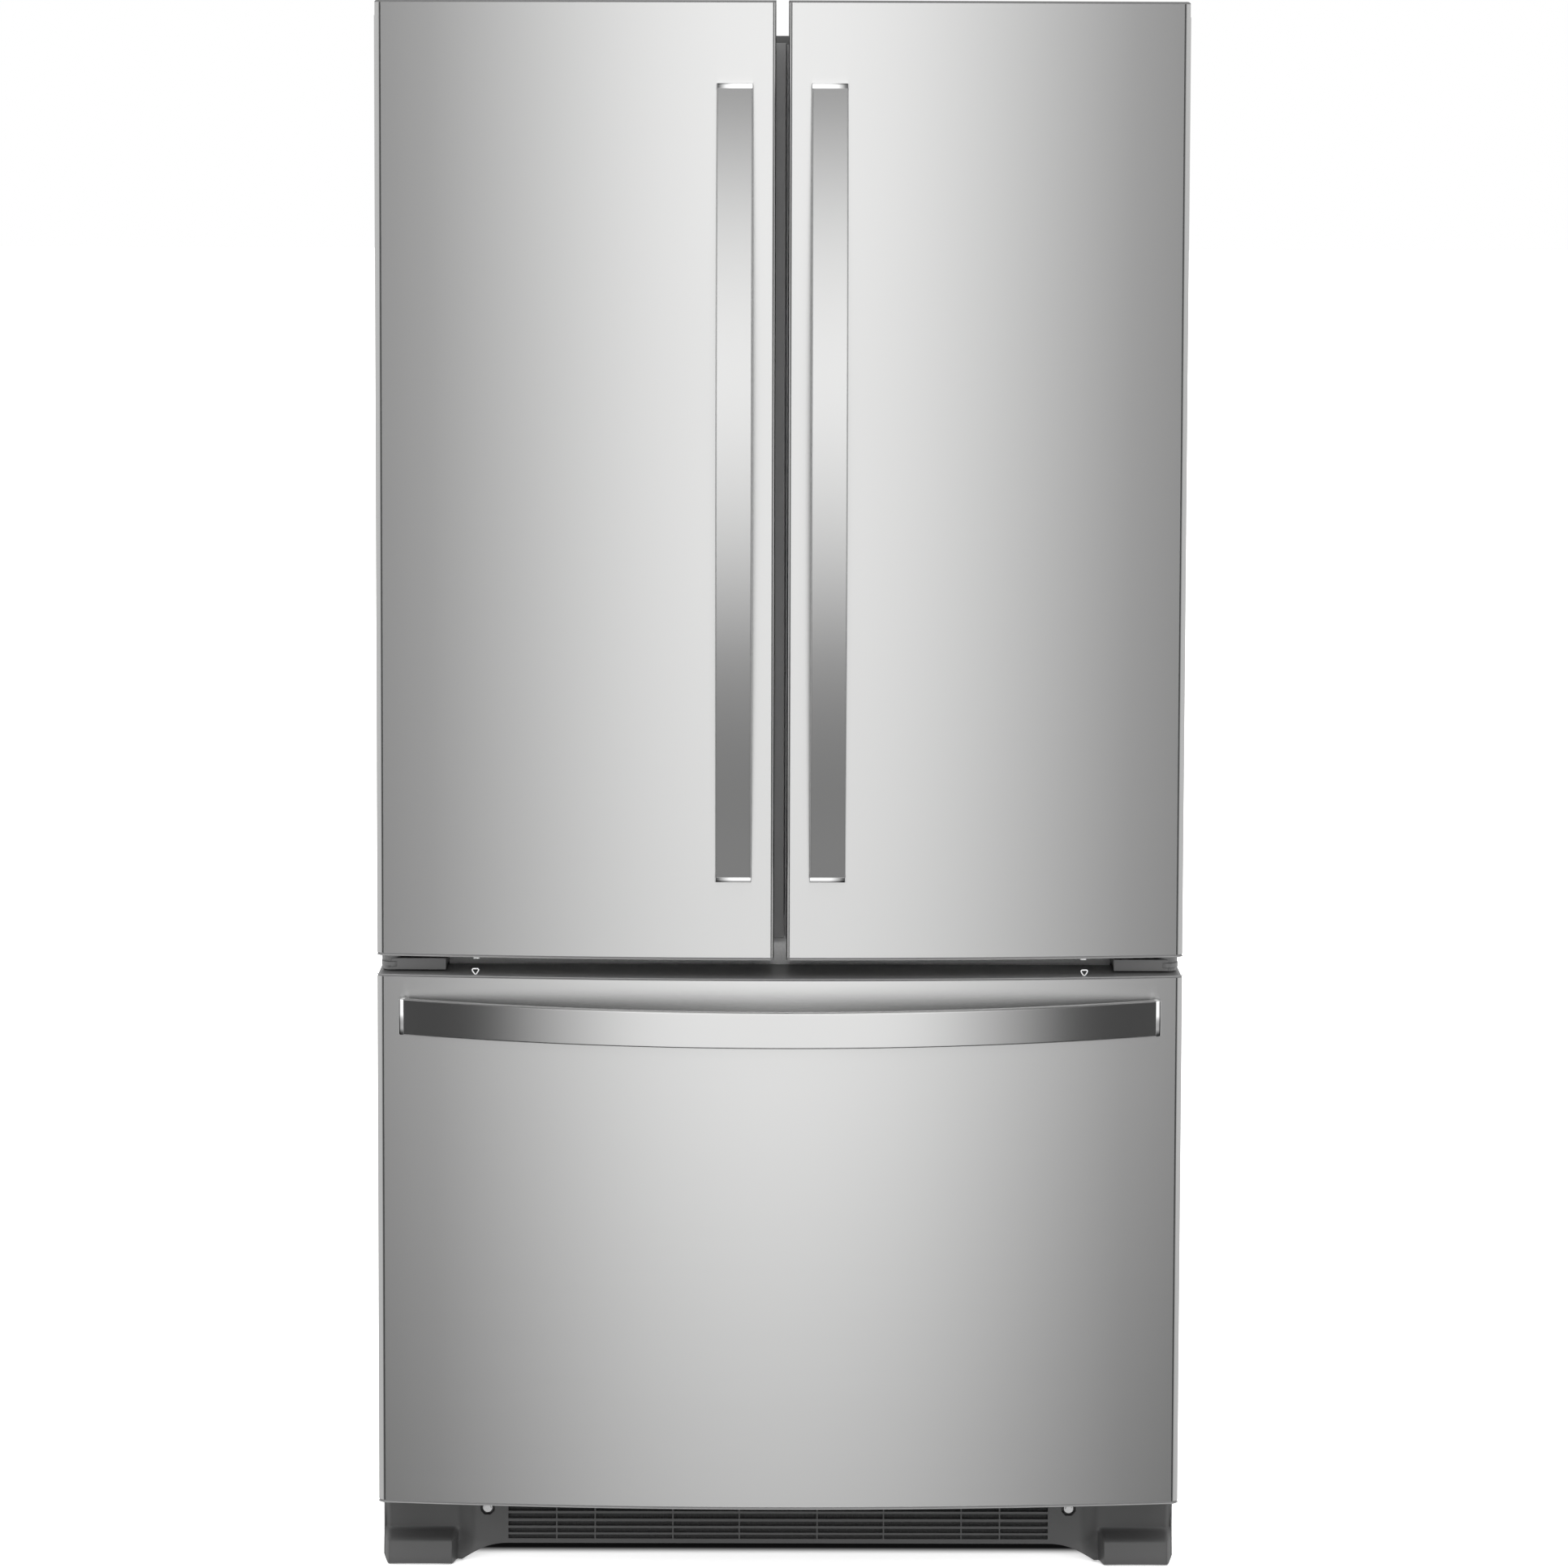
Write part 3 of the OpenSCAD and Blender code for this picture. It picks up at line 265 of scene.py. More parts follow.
ZINC = plastic("zinc", rgb(0.58), 0.38, metallic=0.9, bump=0.00002, bump_scale=120.0, mottle=0.12)
BRACKET = plastic("bracket_paint", rgb(0.13), 0.4, bump=0.00003, bump_scale=700.0, mottle=0.04, edge=0.001)
SCREW = plastic("screw_steel", rgb(0.62), 0.25, metallic=1.0, mottle=0.08)
BLACK_PAINT = plastic("black_paint", rgb(0.02), 0.22, bump=0.00003, bump_scale=160.0, mottle=0.1, edge=0.002)
FINS = plastic("fin_aluminium", rgb(0.78), 0.35, metallic=1.0, bump=0.00003, bump_scale=200.0, mottle=0.06)
FAN = plastic("fan_plastic", rgb(0.05), 0.5, bump=0.00003, bump_scale=600.0, mottle=0.08)
TYRE = plastic("roller_rubber", rgb(0.03), 0.6, bump=0.00005, bump_scale=600.0, mottle=0.15, edge=0.002)
LENS = plastic("light_lens", rgb(0.9, (1.0, 0.99, 0.95)), 0.3, mottle=0.01)
BUTTON = plastic("button", rgb(0.5, (0.97, 0.99, 1.0)), 0.3, bump=0.00002, bump_scale=600.0, mottle=0.05,
                 edge=0.0008)

FINISH = {
    "stainless_front": STEEL_FRONT, "stainless_handle": STEEL_HANDLE, "handle_end": CHROME,
    "cabinet_paint": CABINET, "dark_plastic": DARK, "grille_plastic": GRILLE, "cap_plastic": CAP,
    "white_liner": WHITE, "white_plastic": WHITE_TRIM, "clear_plastic": CLEAR, "basket_plastic": FROSTED,
    "glass": GLASS, "gasket": GASKET, "foam": FOAM, "zinc": ZINC, "grey_bracket": BRACKET, "screw": SCREW,
    "black_steel": BLACK_PAINT, "fin_aluminium": FINS, "fan_plastic": FAN, "tyre": TYRE, "lens": LENS,
    "button": BUTTON,
}
OWN_FINISH = {"drawer_skin": STEEL_DRAWER, "center_rail": RAIL}


def paint(obj, mat):
    """Give an object this one material."""
    obj.data.materials.clear()
    obj.data.materials.append(mat)


for part in frame["record"]["subparts"]:
    paint(NODES[part["node"]], OWN_FINISH.get(part["node"]) or FINISH[part["material_slot"]])


# ---------------------------------------------------------------- mesh helpers

def piece(name, verts, faces, mat, body, replaces=(), sharp=35.0, uvs=None):
    """A mesh object from points and faces, smooth but for its sharp edges, riding on a body."""
    mesh = bpy.data.meshes.new(name)
    mesh.from_pydata([tuple(v) for v in verts], [], faces)
    if uvs:
        layer = mesh.uv_layers.new(name="across")
        for loop in mesh.loops:
            layer.data[loop.index].uv = uvs[loop.vertex_index]
    b = bmesh.new()
    b.from_mesh(mesh)
    bmesh.ops.recalc_face_normals(b, faces=b.faces)
    for face in b.faces:
        face.smooth = True
    for edge in b.edges:
        edge.smooth = len(edge.link_faces) == 2 and edge.calc_face_angle(0.0) < math.radians(sharp)
    b.to_mesh(mesh)
    b.free()
    obj = bpy.data.objects.new(name, mesh)
    SCENE.collection.objects.link(obj)
    paint(obj, mat)
    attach(obj, body)
    if replaces:
        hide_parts(*replaces)
    return obj


def sweep(rings, closed_ends=True):
    """Points and faces of a skin over rings of the same number of points."""
    count = len(rings[0])
    verts = [p for ring in rings for p in ring]
    faces = []
    for i in range(len(rings) - 1):
        for j in range(count):
            k = (j + 1) % count
            faces.append((i * count + j, i * count + k, (i + 1) * count + k, (i + 1) * count + j))
    if closed_ends:
        faces.append(tuple(range(count)))
        faces.append(tuple(range((len(rings) - 1) * count, len(rings) * count)))
    return verts, faces


def rounded_profile(half_w, depth, radius, steps=5):
    """Closed section across a bar: a flat face at 0 with round front edges, and a plain back at -depth."""
    points = [(-half_w + radius + 0.4 * MM, 0.0), (half_w - radius - 0.4 * MM, 0.0)]
    for i in range(steps + 1):
        a = math.pi / 2 * (1 - i / steps)
        points.append((half_w - radius + radius * math.cos(a), -radius + radius * math.sin(a)))
    for i in range(3):
        a = -math.pi / 2 * i / 2
        points.append((half_w - radius + radius * math.cos(a), -depth + radius + radius * math.sin(a)))
    for i in range(3):
        a = -math.pi / 2 * (1 + i / 2)
        points.append((-half_w + radius + radius * math.cos(a), -depth + radius + radius * math.sin(a)))
    for i in range(steps + 1):
        a = math.pi - math.pi / 2 * i / steps
        points.append((-half_w + radius + radius * math.cos(a), -radius + radius * math.sin(a)))
    return points


# ---------------------------------------------------------------- handles

class Bar:
    """The arc of a CAD handle bar: its face, its middle and how it curves."""

    def __init__(self, node, axis):
        low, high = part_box(node)
        self.axis = axis
        self.face = low.y
        self.mid = (low + high) / 2
        self.half = (high[axis] - low[axis]) / 2
        self.width = high[2 - axis] - low[2 - axis]
        end = min(v.co.y for v in NODES[node].data.vertices if abs(v.co[axis] - high[axis]) < 1e-5)
        sag = end - self.face
        self.radius = (self.half ** 2 + sag ** 2) / (2 * sag)

    def point(self, u, across, out):
        """A point u along the bar, across it, and out from its face."""
        tilt = math.asin(u / self.radius)
        y = self.face + self.radius - (self.radius + out) * math.cos(tilt)
        p = Vector((0, y, 0))
        p[self.axis] = self.mid[self.axis] + (self.radius + out) * math.sin(tilt)
        p[2 - self.axis] = self.mid[2 - self.axis] + across
        return p


BAR_THICK, BAR_ROUND, BAR_STEPS = 10 * MM, 1.5 * MM, 180
CAP_LENGTH, CAP_OVERLAP, CAP_SOFT = 5.6 * MM, 0.8 * MM, 0.8 * MM
CAP_THICK, CAP_ROUND = 11.5 * MM, 0.9 * MM
CAP_PROUD, CAP_WIDER = 0.4 * MM, 0.3 * MM
CAP_TAPER = 6 * MM         # depth over which a cap's rounded end draws in


def handle_bar(node, axis, mat, body):
    """The brushed bar, with softly rounded long edges."""
    bar = Bar(node, axis)
    section = rounded_profile(bar.width / 2, BAR_THICK, BAR_ROUND)
    rings, uvs = [], []
    for i in range(BAR_STEPS + 1):
        u = bar.half * (2 * i / BAR_STEPS - 1)
        rings.append([bar.point(u, across, out) for across, out in section])
        uvs += [(0.5 + across * 10, 0.5 + u) for across, _ in section]
    verts, faces = sweep(rings)
    piece(f"{node}_brushed", verts, faces, mat, body, [node], uvs=uvs)
    return bar


def handle_caps(name, bar, mat, body):
    """Plated ends over the bar's feet, a little proud of the bar and rounded at their edges."""
    section = rounded_profile(bar.width / 2 + CAP_WIDER, CAP_THICK, CAP_ROUND)
    start = bar.half - CAP_OVERLAP
    stations = ((0, 0), (CAP_LENGTH / 2, 0), (CAP_LENGTH - CAP_SOFT, 0),
                (CAP_LENGTH - 0.3 * CAP_SOFT, 0.3 * CAP_SOFT), (CAP_LENGTH, CAP_SOFT))
    for side, end in ((-1, "low"), (1, "high")):
        rings = []
        for along, shrink in stations:
            narrow = 1 - shrink / (bar.width / 2)
            thin = 1 - shrink / CAP_TAPER
            rings.append([bar.point(side * (start + along), across * narrow, CAP_PROUD - shrink + out * thin)
                          for across, out in section])
        verts, faces = sweep(rings)
        piece(f"{name}_cap_{end}", verts, faces, mat, body)


def build_handles():
    """Bars and plated ends of both doors and of the drawer."""
    for side, door, sign in (("left", "left_door", -1), ("right", "right_door", 1)):
        bar = handle_bar(f"{side}_handle_bar", 2, STEEL_HANDLE, door)
        chrome = crowned_chrome(f"chrome_{side}_end", 0, bar.mid.x, sign, 5.5, 0.22, bar.mid.z)
        handle_caps(f"{side}_handle", bar, chrome, door)
    bar = handle_bar("drawer_handle_bar", 0, STEEL_DRAWER_HANDLE, "freezer_drawer")
    chrome = crowned_chrome("chrome_drawer_end", 2, bar.mid.z + 3 * MM, -1, 8.0, 0.36, 0.0)
    handle_caps("drawer_handle", bar, chrome, "freezer_drawer")


build_handles()


# ---------------------------------------------------------------- lips of the doors and the drawer

BOW_DEPTH = 20 * MM        # the part of a skin's front that surely lies on its arc
CORNER = 9 * MM            # round outer corners of the skins
OUTER_X = 0.4              # a skin's side beyond this is an outer one
INNER_INSET = 4 * MM
LIP_PROUD, LIP_SIDES, LIP_STEPS = 0.5 * MM, 10, 80
CORNER_ANGLES = (0.2, 0.6, 1.0, 1.35)


class Front:
    """The bowed face that all three skins share: its depth at any x, and a skin's own sides."""

    def __init__(self, node):
        self.low, self.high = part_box(node)
        self.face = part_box("drawer_skin")[0].y
        near = [v.co for v in NODES["drawer_skin"].data.vertices if v.co.y < self.face + BOW_DEPTH]
        far = max(near, key=lambda c: abs(c.x))
        self.radius = (far.x ** 2 + (far.y - self.face) ** 2) / (2 * (far.y - self.face))

    def y(self, x):
        """Depth of the bowed face at x."""
        return self.face + self.radius - math.sqrt(self.radius ** 2 - x * x)


def corner_path(front, x, side):
    """Points and outward directions round the outer corner that starts at x, on the side +1 or -1."""
    edge, y = x + side * CORNER, front.y(x)
    points = [(Vector((edge - side * CORNER * (1 - math.cos(t)), y + CORNER * (1 - math.sin(t)), 0)),
               Vector((side * math.cos(t), -math.sin(t), 0))) for t in CORNER_ANGLES]
    return points if side < 0 else points[::-1]


def lip(name, node, body, z, height):
    """A thin round-edged bead along the front at one height, following the bow and the outer corners."""
    front = Front(node)
    outer_left, outer_right = front.low.x < -OUTER_X, front.high.x > OUTER_X
    a = front.low.x + (CORNER if outer_left else INNER_INSET)
    b = front.high.x - (CORNER if outer_right else INNER_INSET)
    xs = [a + (b - a) * i / LIP_STEPS for i in range(LIP_STEPS + 1)]
    path = [(Vector((x, front.y(x), 0)), Vector((x / front.radius, -1, 0)).normalized()) for x in xs]
    if outer_left:
        path = corner_path(front, a, -1) + path
    if outer_right:
        path = path + corner_path(front, b, 1)
    turns = [2 * math.pi * k / LIP_SIDES for k in range(LIP_SIDES)]
    rings = [[p + out * (LIP_PROUD * math.cos(t)) + Vector((0, 0, z + height / 2 * (1 + math.sin(t))))
              for t in turns] for p, out in path]
    verts, faces = sweep(rings)
    piece(name, verts, faces, LIP, body)


def build_lips():
    """Beads under the doors and along the drawer's top and bottom."""
    lower, upper, above = 1.3 * MM, 1.2 * MM, 0.1 * MM
    for side in ("left", "right"):
        door = f"{side}_door"
        lip(f"{door}_lower_lip", f"{door}_skin", door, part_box(f"{door}_end_caps")[0].z + above, lower)
    low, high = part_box("drawer_end_caps")
    lip("drawer_upper_lip", "drawer_skin", "freezer_drawer", high.z - upper, upper)
    lip("drawer_lower_lip", "drawer_skin", "freezer_drawer", low.z + above, lower)


build_lips()


# ---------------------------------------------------------------- small parts over the drawer

TUBE_SIDES = 8


def tube(name, path, radius, mat, body, closed=False):
    """A round wire through the points of a path that doesn't run straight back."""
    turns = [2 * math.pi * k / TUBE_SIDES for k in range(TUBE_SIDES)]
    rings = []
    count = len(path)
    for i, p in enumerate(path):
        ahead = path[(i + 1) % count] if closed or i + 1 < count else p
        behind = path[i - 1] if closed or i else p
        along = (ahead - behind).normalized()
        side = along.cross(Vector((0, 1, 0))).normalized()
        up = along.cross(side)
        rings.append([p + side * (radius * math.cos(t)) + up * (radius * math.sin(t)) for t in turns])
    if closed:
        rings.append(rings[0])
    verts, faces = sweep(rings, closed_ends=not closed)
    piece(name, verts, faces, mat, body)


EYELET_X, EYELET_WIRE = 341.5 * MM, 0.75 * MM
EYELET_BACK = 23 * MM      # behind the foremost point of the drawer's front
EYELET_RIGHT = ((0, 0.0), (1.2, 0.7), (3.2, 3.8), (3.6, 5.4), (2.9, 6.4))   # its right half, in millimetres
PAD_X, PAD_RADIUS, PAD_DROP = 340 * MM, 1.3 * MM, 1.1 * MM
PAD_AHEAD = 4 * MM         # of the eyelet


def build_slot_details():
    """Wire eyelets on the drawer's top edge, a white pad above each, and the lip that closes the gap."""
    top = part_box("drawer_end_caps")[1].z
    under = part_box("left_door_end_caps")[0].z
    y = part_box("drawer_skin")[0].y + EYELET_BACK
    left_half = [(-a, b) for a, b in EYELET_RIGHT[1:]]
    corners = left_half[2:] + list(EYELET_RIGHT[::-1]) + left_half[:2]
    for side, sign in (("left", -1), ("right", 1)):
        mid = Vector((sign * EYELET_X, y, top))
        path = [mid + Vector((a * MM, 0, b * MM)) for a, b in corners]
        tube(f"eyelet_{side}", path, EYELET_WIRE, WHITE_TRIM, "freezer_drawer", closed=True)
        pad = Vector((sign * PAD_X, y - PAD_AHEAD, under - PAD_DROP))
        path = [pad + Vector((a * MM, 0, 0)) for a in (-3.2, -2.4, 0, 2.4, 3.2)]
        tube(f"door_pad_{side}", path, PAD_RADIUS, WHITE_TRIM, f"{side}_door")
    low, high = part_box("left_door_gasket")
    y, reach = high.y - 4 * MM, high.x + 0.8 * MM
    section = [(0, 0), (0.6, -1.2), (4.5, -1.6), (4.5, 1.6), (0.6, 1.2)]
    rings = [[Vector((reach + a * MM, y + b * MM, z)) for a, b in section]
             for z in (low.z + 2 * MM, (low.z + high.z) / 2, high.z - 2 * MM)]
    verts, faces = sweep(rings)
    piece("right_door_gasket_lip", verts, faces, GASKET, "right_door")


build_slot_details()


# ---------------------------------------------------------------- toe grille

# Heights, distances from the middle and depths in this section are in millimetres.
SLOT_Z = [24.8, 31.9, 39.8, 48.2, 57.0, 66.2]
SLOT_H = [4.6, 5.0, 5.1, 5.9, 6.2, 6.4]
SLOT_BARS = [-310, -253.8, -209.8, -120.7, -44.6, 44.6, 120.7, 209.8, 253.8, 310]
BAR_HALF = 0.8
NOTCH_X, NOTCH_Z, NOTCH_RADIUS, NOTCH_DEEP = 333, 60.5, 7.8, 4
GRILLE_TOP, SOLE = 83.5, 1.5
ARCH_TOP, ARCH_START, ARCH_FALL, ARCH_REACH = 19.5, 310, 20, 55
HALF_X, SIDE_X, SIDE_ROUND = 452, 445, 7
RECESS_DEEP, RECESS_X = 7, (346, 368)
LEAN_PROUD, LEAN_X, LEAN_Z = 3, (372, HALF_X), (30, 84)
TURN_DEEP, TURN_X = 6, (444, HALF_X)
FLARE_PROUD, FLARE_X, FLARE_END, FLARE_Z = 6, (326, 364), (366, 372), (4, 24)
BLOCK_PROUD, BLOCK_X, BLOCK_Z = 22, (367, 373), (26, 37)
GRID_STEP = 2.5
GRILLE_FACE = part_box("base_grille")[0].y + 14 * MM     # the CAD's panel, behind its feet


def smooth_step(ends, x):
    """0 before both ends, 1 beyond them and a smooth rise between."""
    t = min(max((x - ends[0]) / (ends[1] - ends[0]), 0.0), 1.0)
    return t * t * (3 - 2 * t)


def grille_bottom(x):
    """Height of the grille's lower edge at x: feet at the sides and an arch between."""
    x = abs(x)
    if x > SIDE_X:
        return SOLE + SIDE_ROUND - math.sqrt(max(SIDE_ROUND ** 2 - (x - SIDE_X) ** 2, 0))
    return max(ARCH_TOP - ARCH_FALL * (max(x - ARCH_START, 0) / ARCH_REACH) ** 2, SOLE)


def grille_depth(x, z):
    """How far the surface lies behind the panel's face: side recesses, feet and screw notches."""
    x = abs(x)
    depth = RECESS_DEEP * smooth_step(RECESS_X, x) * (0.5 + 0.5 * smooth_step((2, 30), z))
    depth -= LEAN_PROUD * smooth_step(LEAN_X, x) * smooth_step(LEAN_Z, z)
    depth += TURN_DEEP * smooth_step(TURN_X, x)
    depth -= (FLARE_PROUD * smooth_step(FLARE_X, x) * (1 - smooth_step(FLARE_Z, z))
              * (1 - smooth_step(FLARE_END, x)))
    block = smooth_step(BLOCK_X, x) * (1 - smooth_step(BLOCK_Z, z))
    depth -= BLOCK_PROUD * block * (1 - 0.55 * smooth_step((SIDE_X, HALF_X), x))
    if math.hypot(x - NOTCH_X, z - NOTCH_Z) < NOTCH_RADIUS:
        depth += NOTCH_DEEP
    return depth


def spread(fixed, step):
    """The fixed lines in order, with lines between them no further apart than step."""
    lines = []
    for a, b in zip(fixed, fixed[1:]):
        count = max(1, math.ceil((b - a) / step))
        lines += [a + (b - a) * i / count for i in range(count)]
    return lines + [fixed[-1]]


def grille_lines():
    """Upright and level lines of the panel's grid, through every edge of a slot, a notch or a foot."""
    marks = {e for a in SLOT_BARS for e in (a - BAR_HALF, a + BAR_HALF)}
    notch = {s * (NOTCH_X + d) for s in (-1, 1) for d in range(-9, 10)}
    feet = (ARCH_START, 346, 362, 367, 369, 371, 373, SIDE_X, 447, 449, 451, 451.9)
    sides = {s * v for s in (-1, 1) for v in feet}
    heights = {z for a, h in zip(SLOT_Z, SLOT_H) for z in (a, a + h)}
    heights |= {SOLE, 4, 8.5, ARCH_TOP, 26, 28, 30, 32, 35, 37, GRILLE_TOP}
    heights |= {NOTCH_Z + d for d in range(-9, 10)}
    return spread(sorted(marks | notch | sides), GRID_STEP), spread(sorted(heights), GRID_STEP)


def in_slot(x, z):
    """Whether a place on the panel is open."""
    in_row = any(a < z < a + h for a, h in zip(SLOT_Z, SLOT_H))
    on_bar = any(abs(x - a) < BAR_HALF for a in SLOT_BARS)
    return in_row and SLOT_BARS[0] < x < SLOT_BARS[-1] and not on_bar


def thicken(obj, thickness, offset):
    """Give a sheet its thickness: offset -1 to one side, 1 to the other."""
    solid = obj.modifiers.new("thickness", "SOLIDIFY")
    solid.thickness = thickness
    solid.offset = offset


def weld(mesh):
    """Join points that lie together, and delete those that no face uses."""
    b = bmesh.new()
    b.from_mesh(mesh)
    bmesh.ops.remove_doubles(b, verts=b.verts, dist=1e-6)
    loose = [v for v in b.verts if not v.link_faces]
    bmesh.ops.delete(b, geom=loose, context="VERTS")
    b.to_mesh(mesh)
    b.free()


def build_grille_panel():
    """The moulded panel with its slots, arch and feet."""
    xs, zs = grille_lines()
    verts = []
    for x in xs:
        for z in zs:
            z = max(z, grille_bottom(x))
            verts.append(Vector((x * MM, GRILLE_FACE + grille_depth(x, z) * MM, z * MM)))
    rows = len(zs)
    faces = []
    for i in range(len(xs) - 1):
        bottom = min(grille_bottom(xs[i]), grille_bottom(xs[i + 1]))
        for j in range(rows - 1):
            middle = (xs[i] + xs[i + 1]) / 2, (zs[j] + zs[j + 1]) / 2
            if zs[j + 1] > bottom and not in_slot(*middle):
                faces.append((i * rows + j, (i + 1) * rows + j, (i + 1) * rows + j + 1, i * rows + j + 1))
    panel = piece("toe_grille_panel", verts, faces, GRILLE, "cabinet", ["base_grille"],
                  sharp=50.0)
    weld(panel.data)
    thicken(panel, 3 * MM, -1.0)


def build_grille_slot_shade():
    """A dark ribbed sheet behind the slots: painted shade that darkens the openings."""
    ribs, half, behind, rib = 210, 312, 6.2, 0.4
    verts = []
    for i in range(ribs + 1):
        x = (-half + 2 * half * i / ribs) * MM
        y = GRILLE_FACE + behind * MM + (rib * MM if i % 2 else 0)
        verts += [Vector((x, y, 21 * MM)), Vector((x, y, 82 * MM))]
    faces = [(2 * i, 2 * i + 2, 2 * i + 3, 2 * i + 1) for i in range(ribs)]
    sheet = piece("toe_grille_slot_shade", verts, faces, SLOT_SHADE, "cabinet", sharp=10.0)
    thicken(sheet, 0.8 * MM, 1.0)


build_grille_panel()
build_grille_slot_shade()


# ---------------------------------------------------------------- studio

# Stops of the studio's light: degrees aside from straight ahead, and degrees above level.
AHEAD_STOPS = (
    (0, 1.0), (4, 0.93), (6, 0.87), (7.6, 0.79), (9.4, 0.70), (11.2, 0.60), (13, 0.52), (14.4, 0.447),
    (16.5, 0.346), (18, 0.28), (20, 0.17), (22, 0.09), (25, 0.06), (38, 0.05), (44, 0.07), (60, 0.0))
LEVEL_STOPS = (
    (-90, 0.02), (-46, 0.03), (-38, 0.26), (-29, 0.225), (-24.7, 0.245), (-21.5, 0.285), (-18.3, 0.35),
    (-15.1, 0.48), (-11.9, 0.62), (-8.7, 0.735), (-5.5, 0.835), (-2.3, 0.91), (0.9, 0.975), (4.1, 1.0),
    (7.3, 0.98), (10.5, 0.93), (13.7, 0.87), (16.9, 0.76), (20, 0.635), (23.3, 0.49), (26, 0.38),
    (35, 0.30), (60, 0.6), (90, 0.9))
FLANK_STOPS = ((0, 0.0), (38, 0.0), (46, 0.5), (56, 0.85), (180, 0.85))
AHEAD_POWER = 2.1


def world_light():
    """A soft studio: a tall panel ahead that fades to dark flanks, and pale sides and back."""
    world = bpy.data.worlds.new("studio")
    SCENE.world = world
    world.use_nodes = True
    n = Nodes(world.node_tree)
    direction = n.add("ShaderNodeTexCoord").outputs["Generated"]
    x, y, z = n.split(direction)
    aside = n.math("DIVIDE", n.math("ARCTAN2", n.math("ABSOLUTE", x), n.math("MULTIPLY", y, -1.0)), math.pi)
    height = n.math("MULTIPLY_ADD", n.math("ARCSINE", z), 1 / math.pi, 0.5)
    ahead = n.ramp(aside, [(d / 180, v) for d, v in AHEAD_STOPS])
    level = n.ramp(height, [(0.5 + d / 180, v) for d, v in LEVEL_STOPS])
    flank = n.ramp(aside, [(d / 180, v) for d, v in FLANK_STOPS])
    flank_level = n.ramp(height, [(0, 0.5), (0.4, 0.85), (0.6, 1.0), (1, 0.9)])
    sides = n.math("MULTIPLY", flank, flank_level)
    light = n.math("MULTIPLY_ADD", n.math("MULTIPLY", ahead, level), AHEAD_POWER, sides)
    seen = n.add("ShaderNodeLightPath").outputs["Is Camera Ray"]
    glow = n.add("ShaderNodeBackground", {"Color": light, "Strength": 1.0})
    plain = n.add("ShaderNodeBackground", {"Color": rgb(1.0), "Strength": 1.0})
    both = n.add("ShaderNodeMixShader", {0: seen, 1: glow.outputs[0], 2: plain.outputs[0]})
    n.add("ShaderNodeOutputWorld", {"Surface": both.outputs[0]})


SUN_POWER, SUN_SPREAD, SUN_TILT = 3.5, 70, 40


def overhead_light():
    """A soft, even light from above and ahead, which whitens the floor and doesn't show in the steel."""
    data = bpy.data.lights.new("overhead", "SUN")
    data.energy = SUN_POWER
    data.angle = math.radians(SUN_SPREAD)
    lamp = bpy.data.objects.new("overhead", data)
    lamp.rotation_euler = (math.radians(SUN_TILT), 0, 0)
    lamp.visible_glossy = False
    SCENE.collection.objects.link(lamp)


VIEW_AHEAD, VIEW_ASIDE, VIEW_HEIGHT = 5.0, -0.0122, 1.694
VIEW_DOWN, VIEW_TURN, VIEW_ROLL = 4.15, -0.17, 0.17    # degrees
SENSOR, LENS, VIEW_SHIFT = 36.0, 104.0, -0.2396


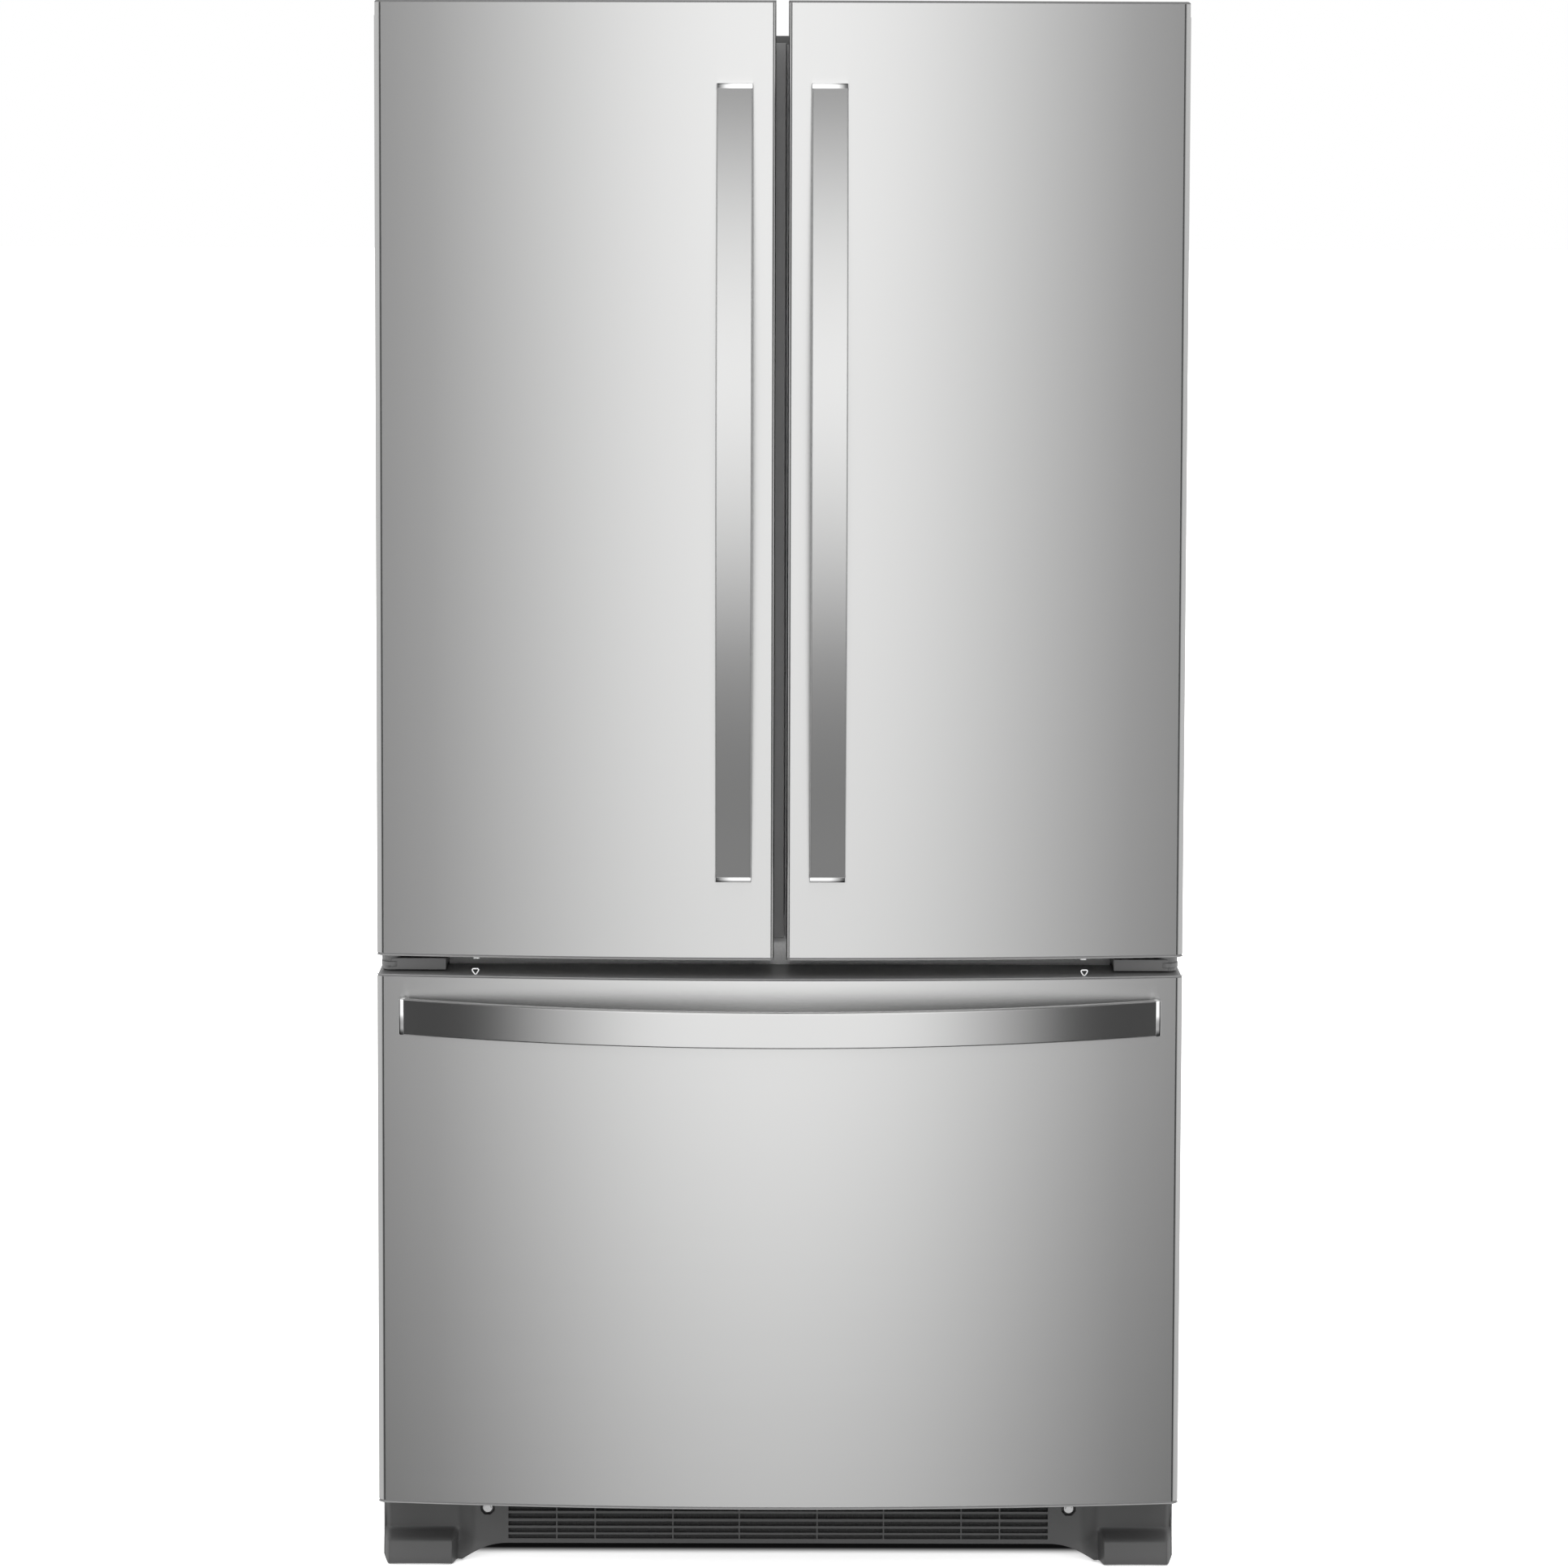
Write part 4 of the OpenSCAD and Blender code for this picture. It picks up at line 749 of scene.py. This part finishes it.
def camera():
    """The main view: 5 m ahead of the doors at about eye level, looking a little down."""
    data = bpy.data.cameras.new("camera")
    data.sensor_width = SENSOR
    data.lens = LENS
    data.shift_y = VIEW_SHIFT
    data.clip_end = 100.0
    cam = bpy.data.objects.new("camera", data)
    turn = Matrix.Rotation(math.radians(VIEW_TURN), 3, "Z")
    tilt = Matrix.Rotation(math.radians(90 - VIEW_DOWN), 3, "X")
    roll = Matrix.Rotation(math.radians(VIEW_ROLL), 3, "Z")
    cam.rotation_euler = (turn @ tilt @ roll).to_euler()
    cam.location = (VIEW_ASIDE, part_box("drawer_skin")[0].y - VIEW_AHEAD, VIEW_HEIGHT)
    SCENE.collection.objects.link(cam)
    SCENE.camera = cam


FLOOR_HALF = 40.0
# Reach of the shadow painted into the floor's colour and glow.
SHADOW_START, SHADOW_FULL = 20 * MM, 46 * MM           # behind the toe grille's face
SHADOW_INSET = 8 * MM                                  # from the refrigerator's sides
CONTACT_REACH = 0.02


def floor():
    """A pale matt floor with a painted shadow under the refrigerator and painted contact shade close to it,
    that glows a little so that it reaches white.
    """
    half = FLOOR_HALF
    corners = [(-half, -half, 0), (half, -half, 0), (half, half, 0), (-half, half, 0)]
    mesh = bpy.data.meshes.new("floor")
    mesh.from_pydata(corners, [], [(0, 1, 2, 3)])
    obj = bpy.data.objects.new("floor", mesh)
    SCENE.collection.objects.link(obj)
    mat, n = new_material("floor")
    x, y, _ = n.split(n.place())
    # painted shadow: colour and glow fall to black under the refrigerator, set by position, not cast by the
    # lamps
    span = {"Value": y, "From Min": GRILLE_FACE + SHADOW_START, "From Max": GRILLE_FACE + SHADOW_FULL}
    under = n.add("ShaderNodeMapRange", span, interpolation_type="SMOOTHSTEP").outputs[0]
    beside = n.math("GREATER_THAN", n.math("ABSOLUTE", x), cad_bounds[1][0] - SHADOW_INSET)
    behind = n.math("GREATER_THAN", y, cad_bounds[1][1])
    shade = n.math("MAXIMUM", n.math("SUBTRACT", 1.0, under), n.math("MAXIMUM", beside, behind))
    # painted contact shade: ambient occlusion darkens colour and glow near the refrigerator's base
    open_sky = n.add("ShaderNodeAmbientOcclusion", {"Distance": CONTACT_REACH}, samples=8).outputs["AO"]
    shade = n.math("MULTIPLY", shade, n.ramp(open_sky, [(0.0, 0.0), (0.35, 0.5), (0.6, 0.95)]))
    n.finish({
        "Base Color": shade, "Roughness": 0.8, "Specular IOR Level": 0.1, "Emission Color": shade,
        "Emission Strength": 0.6})
    paint(obj, mat)
    obj.visible_glossy = False


world_light()
overhead_light()
camera()
floor()
SCENE.view_settings.view_transform = "Standard"
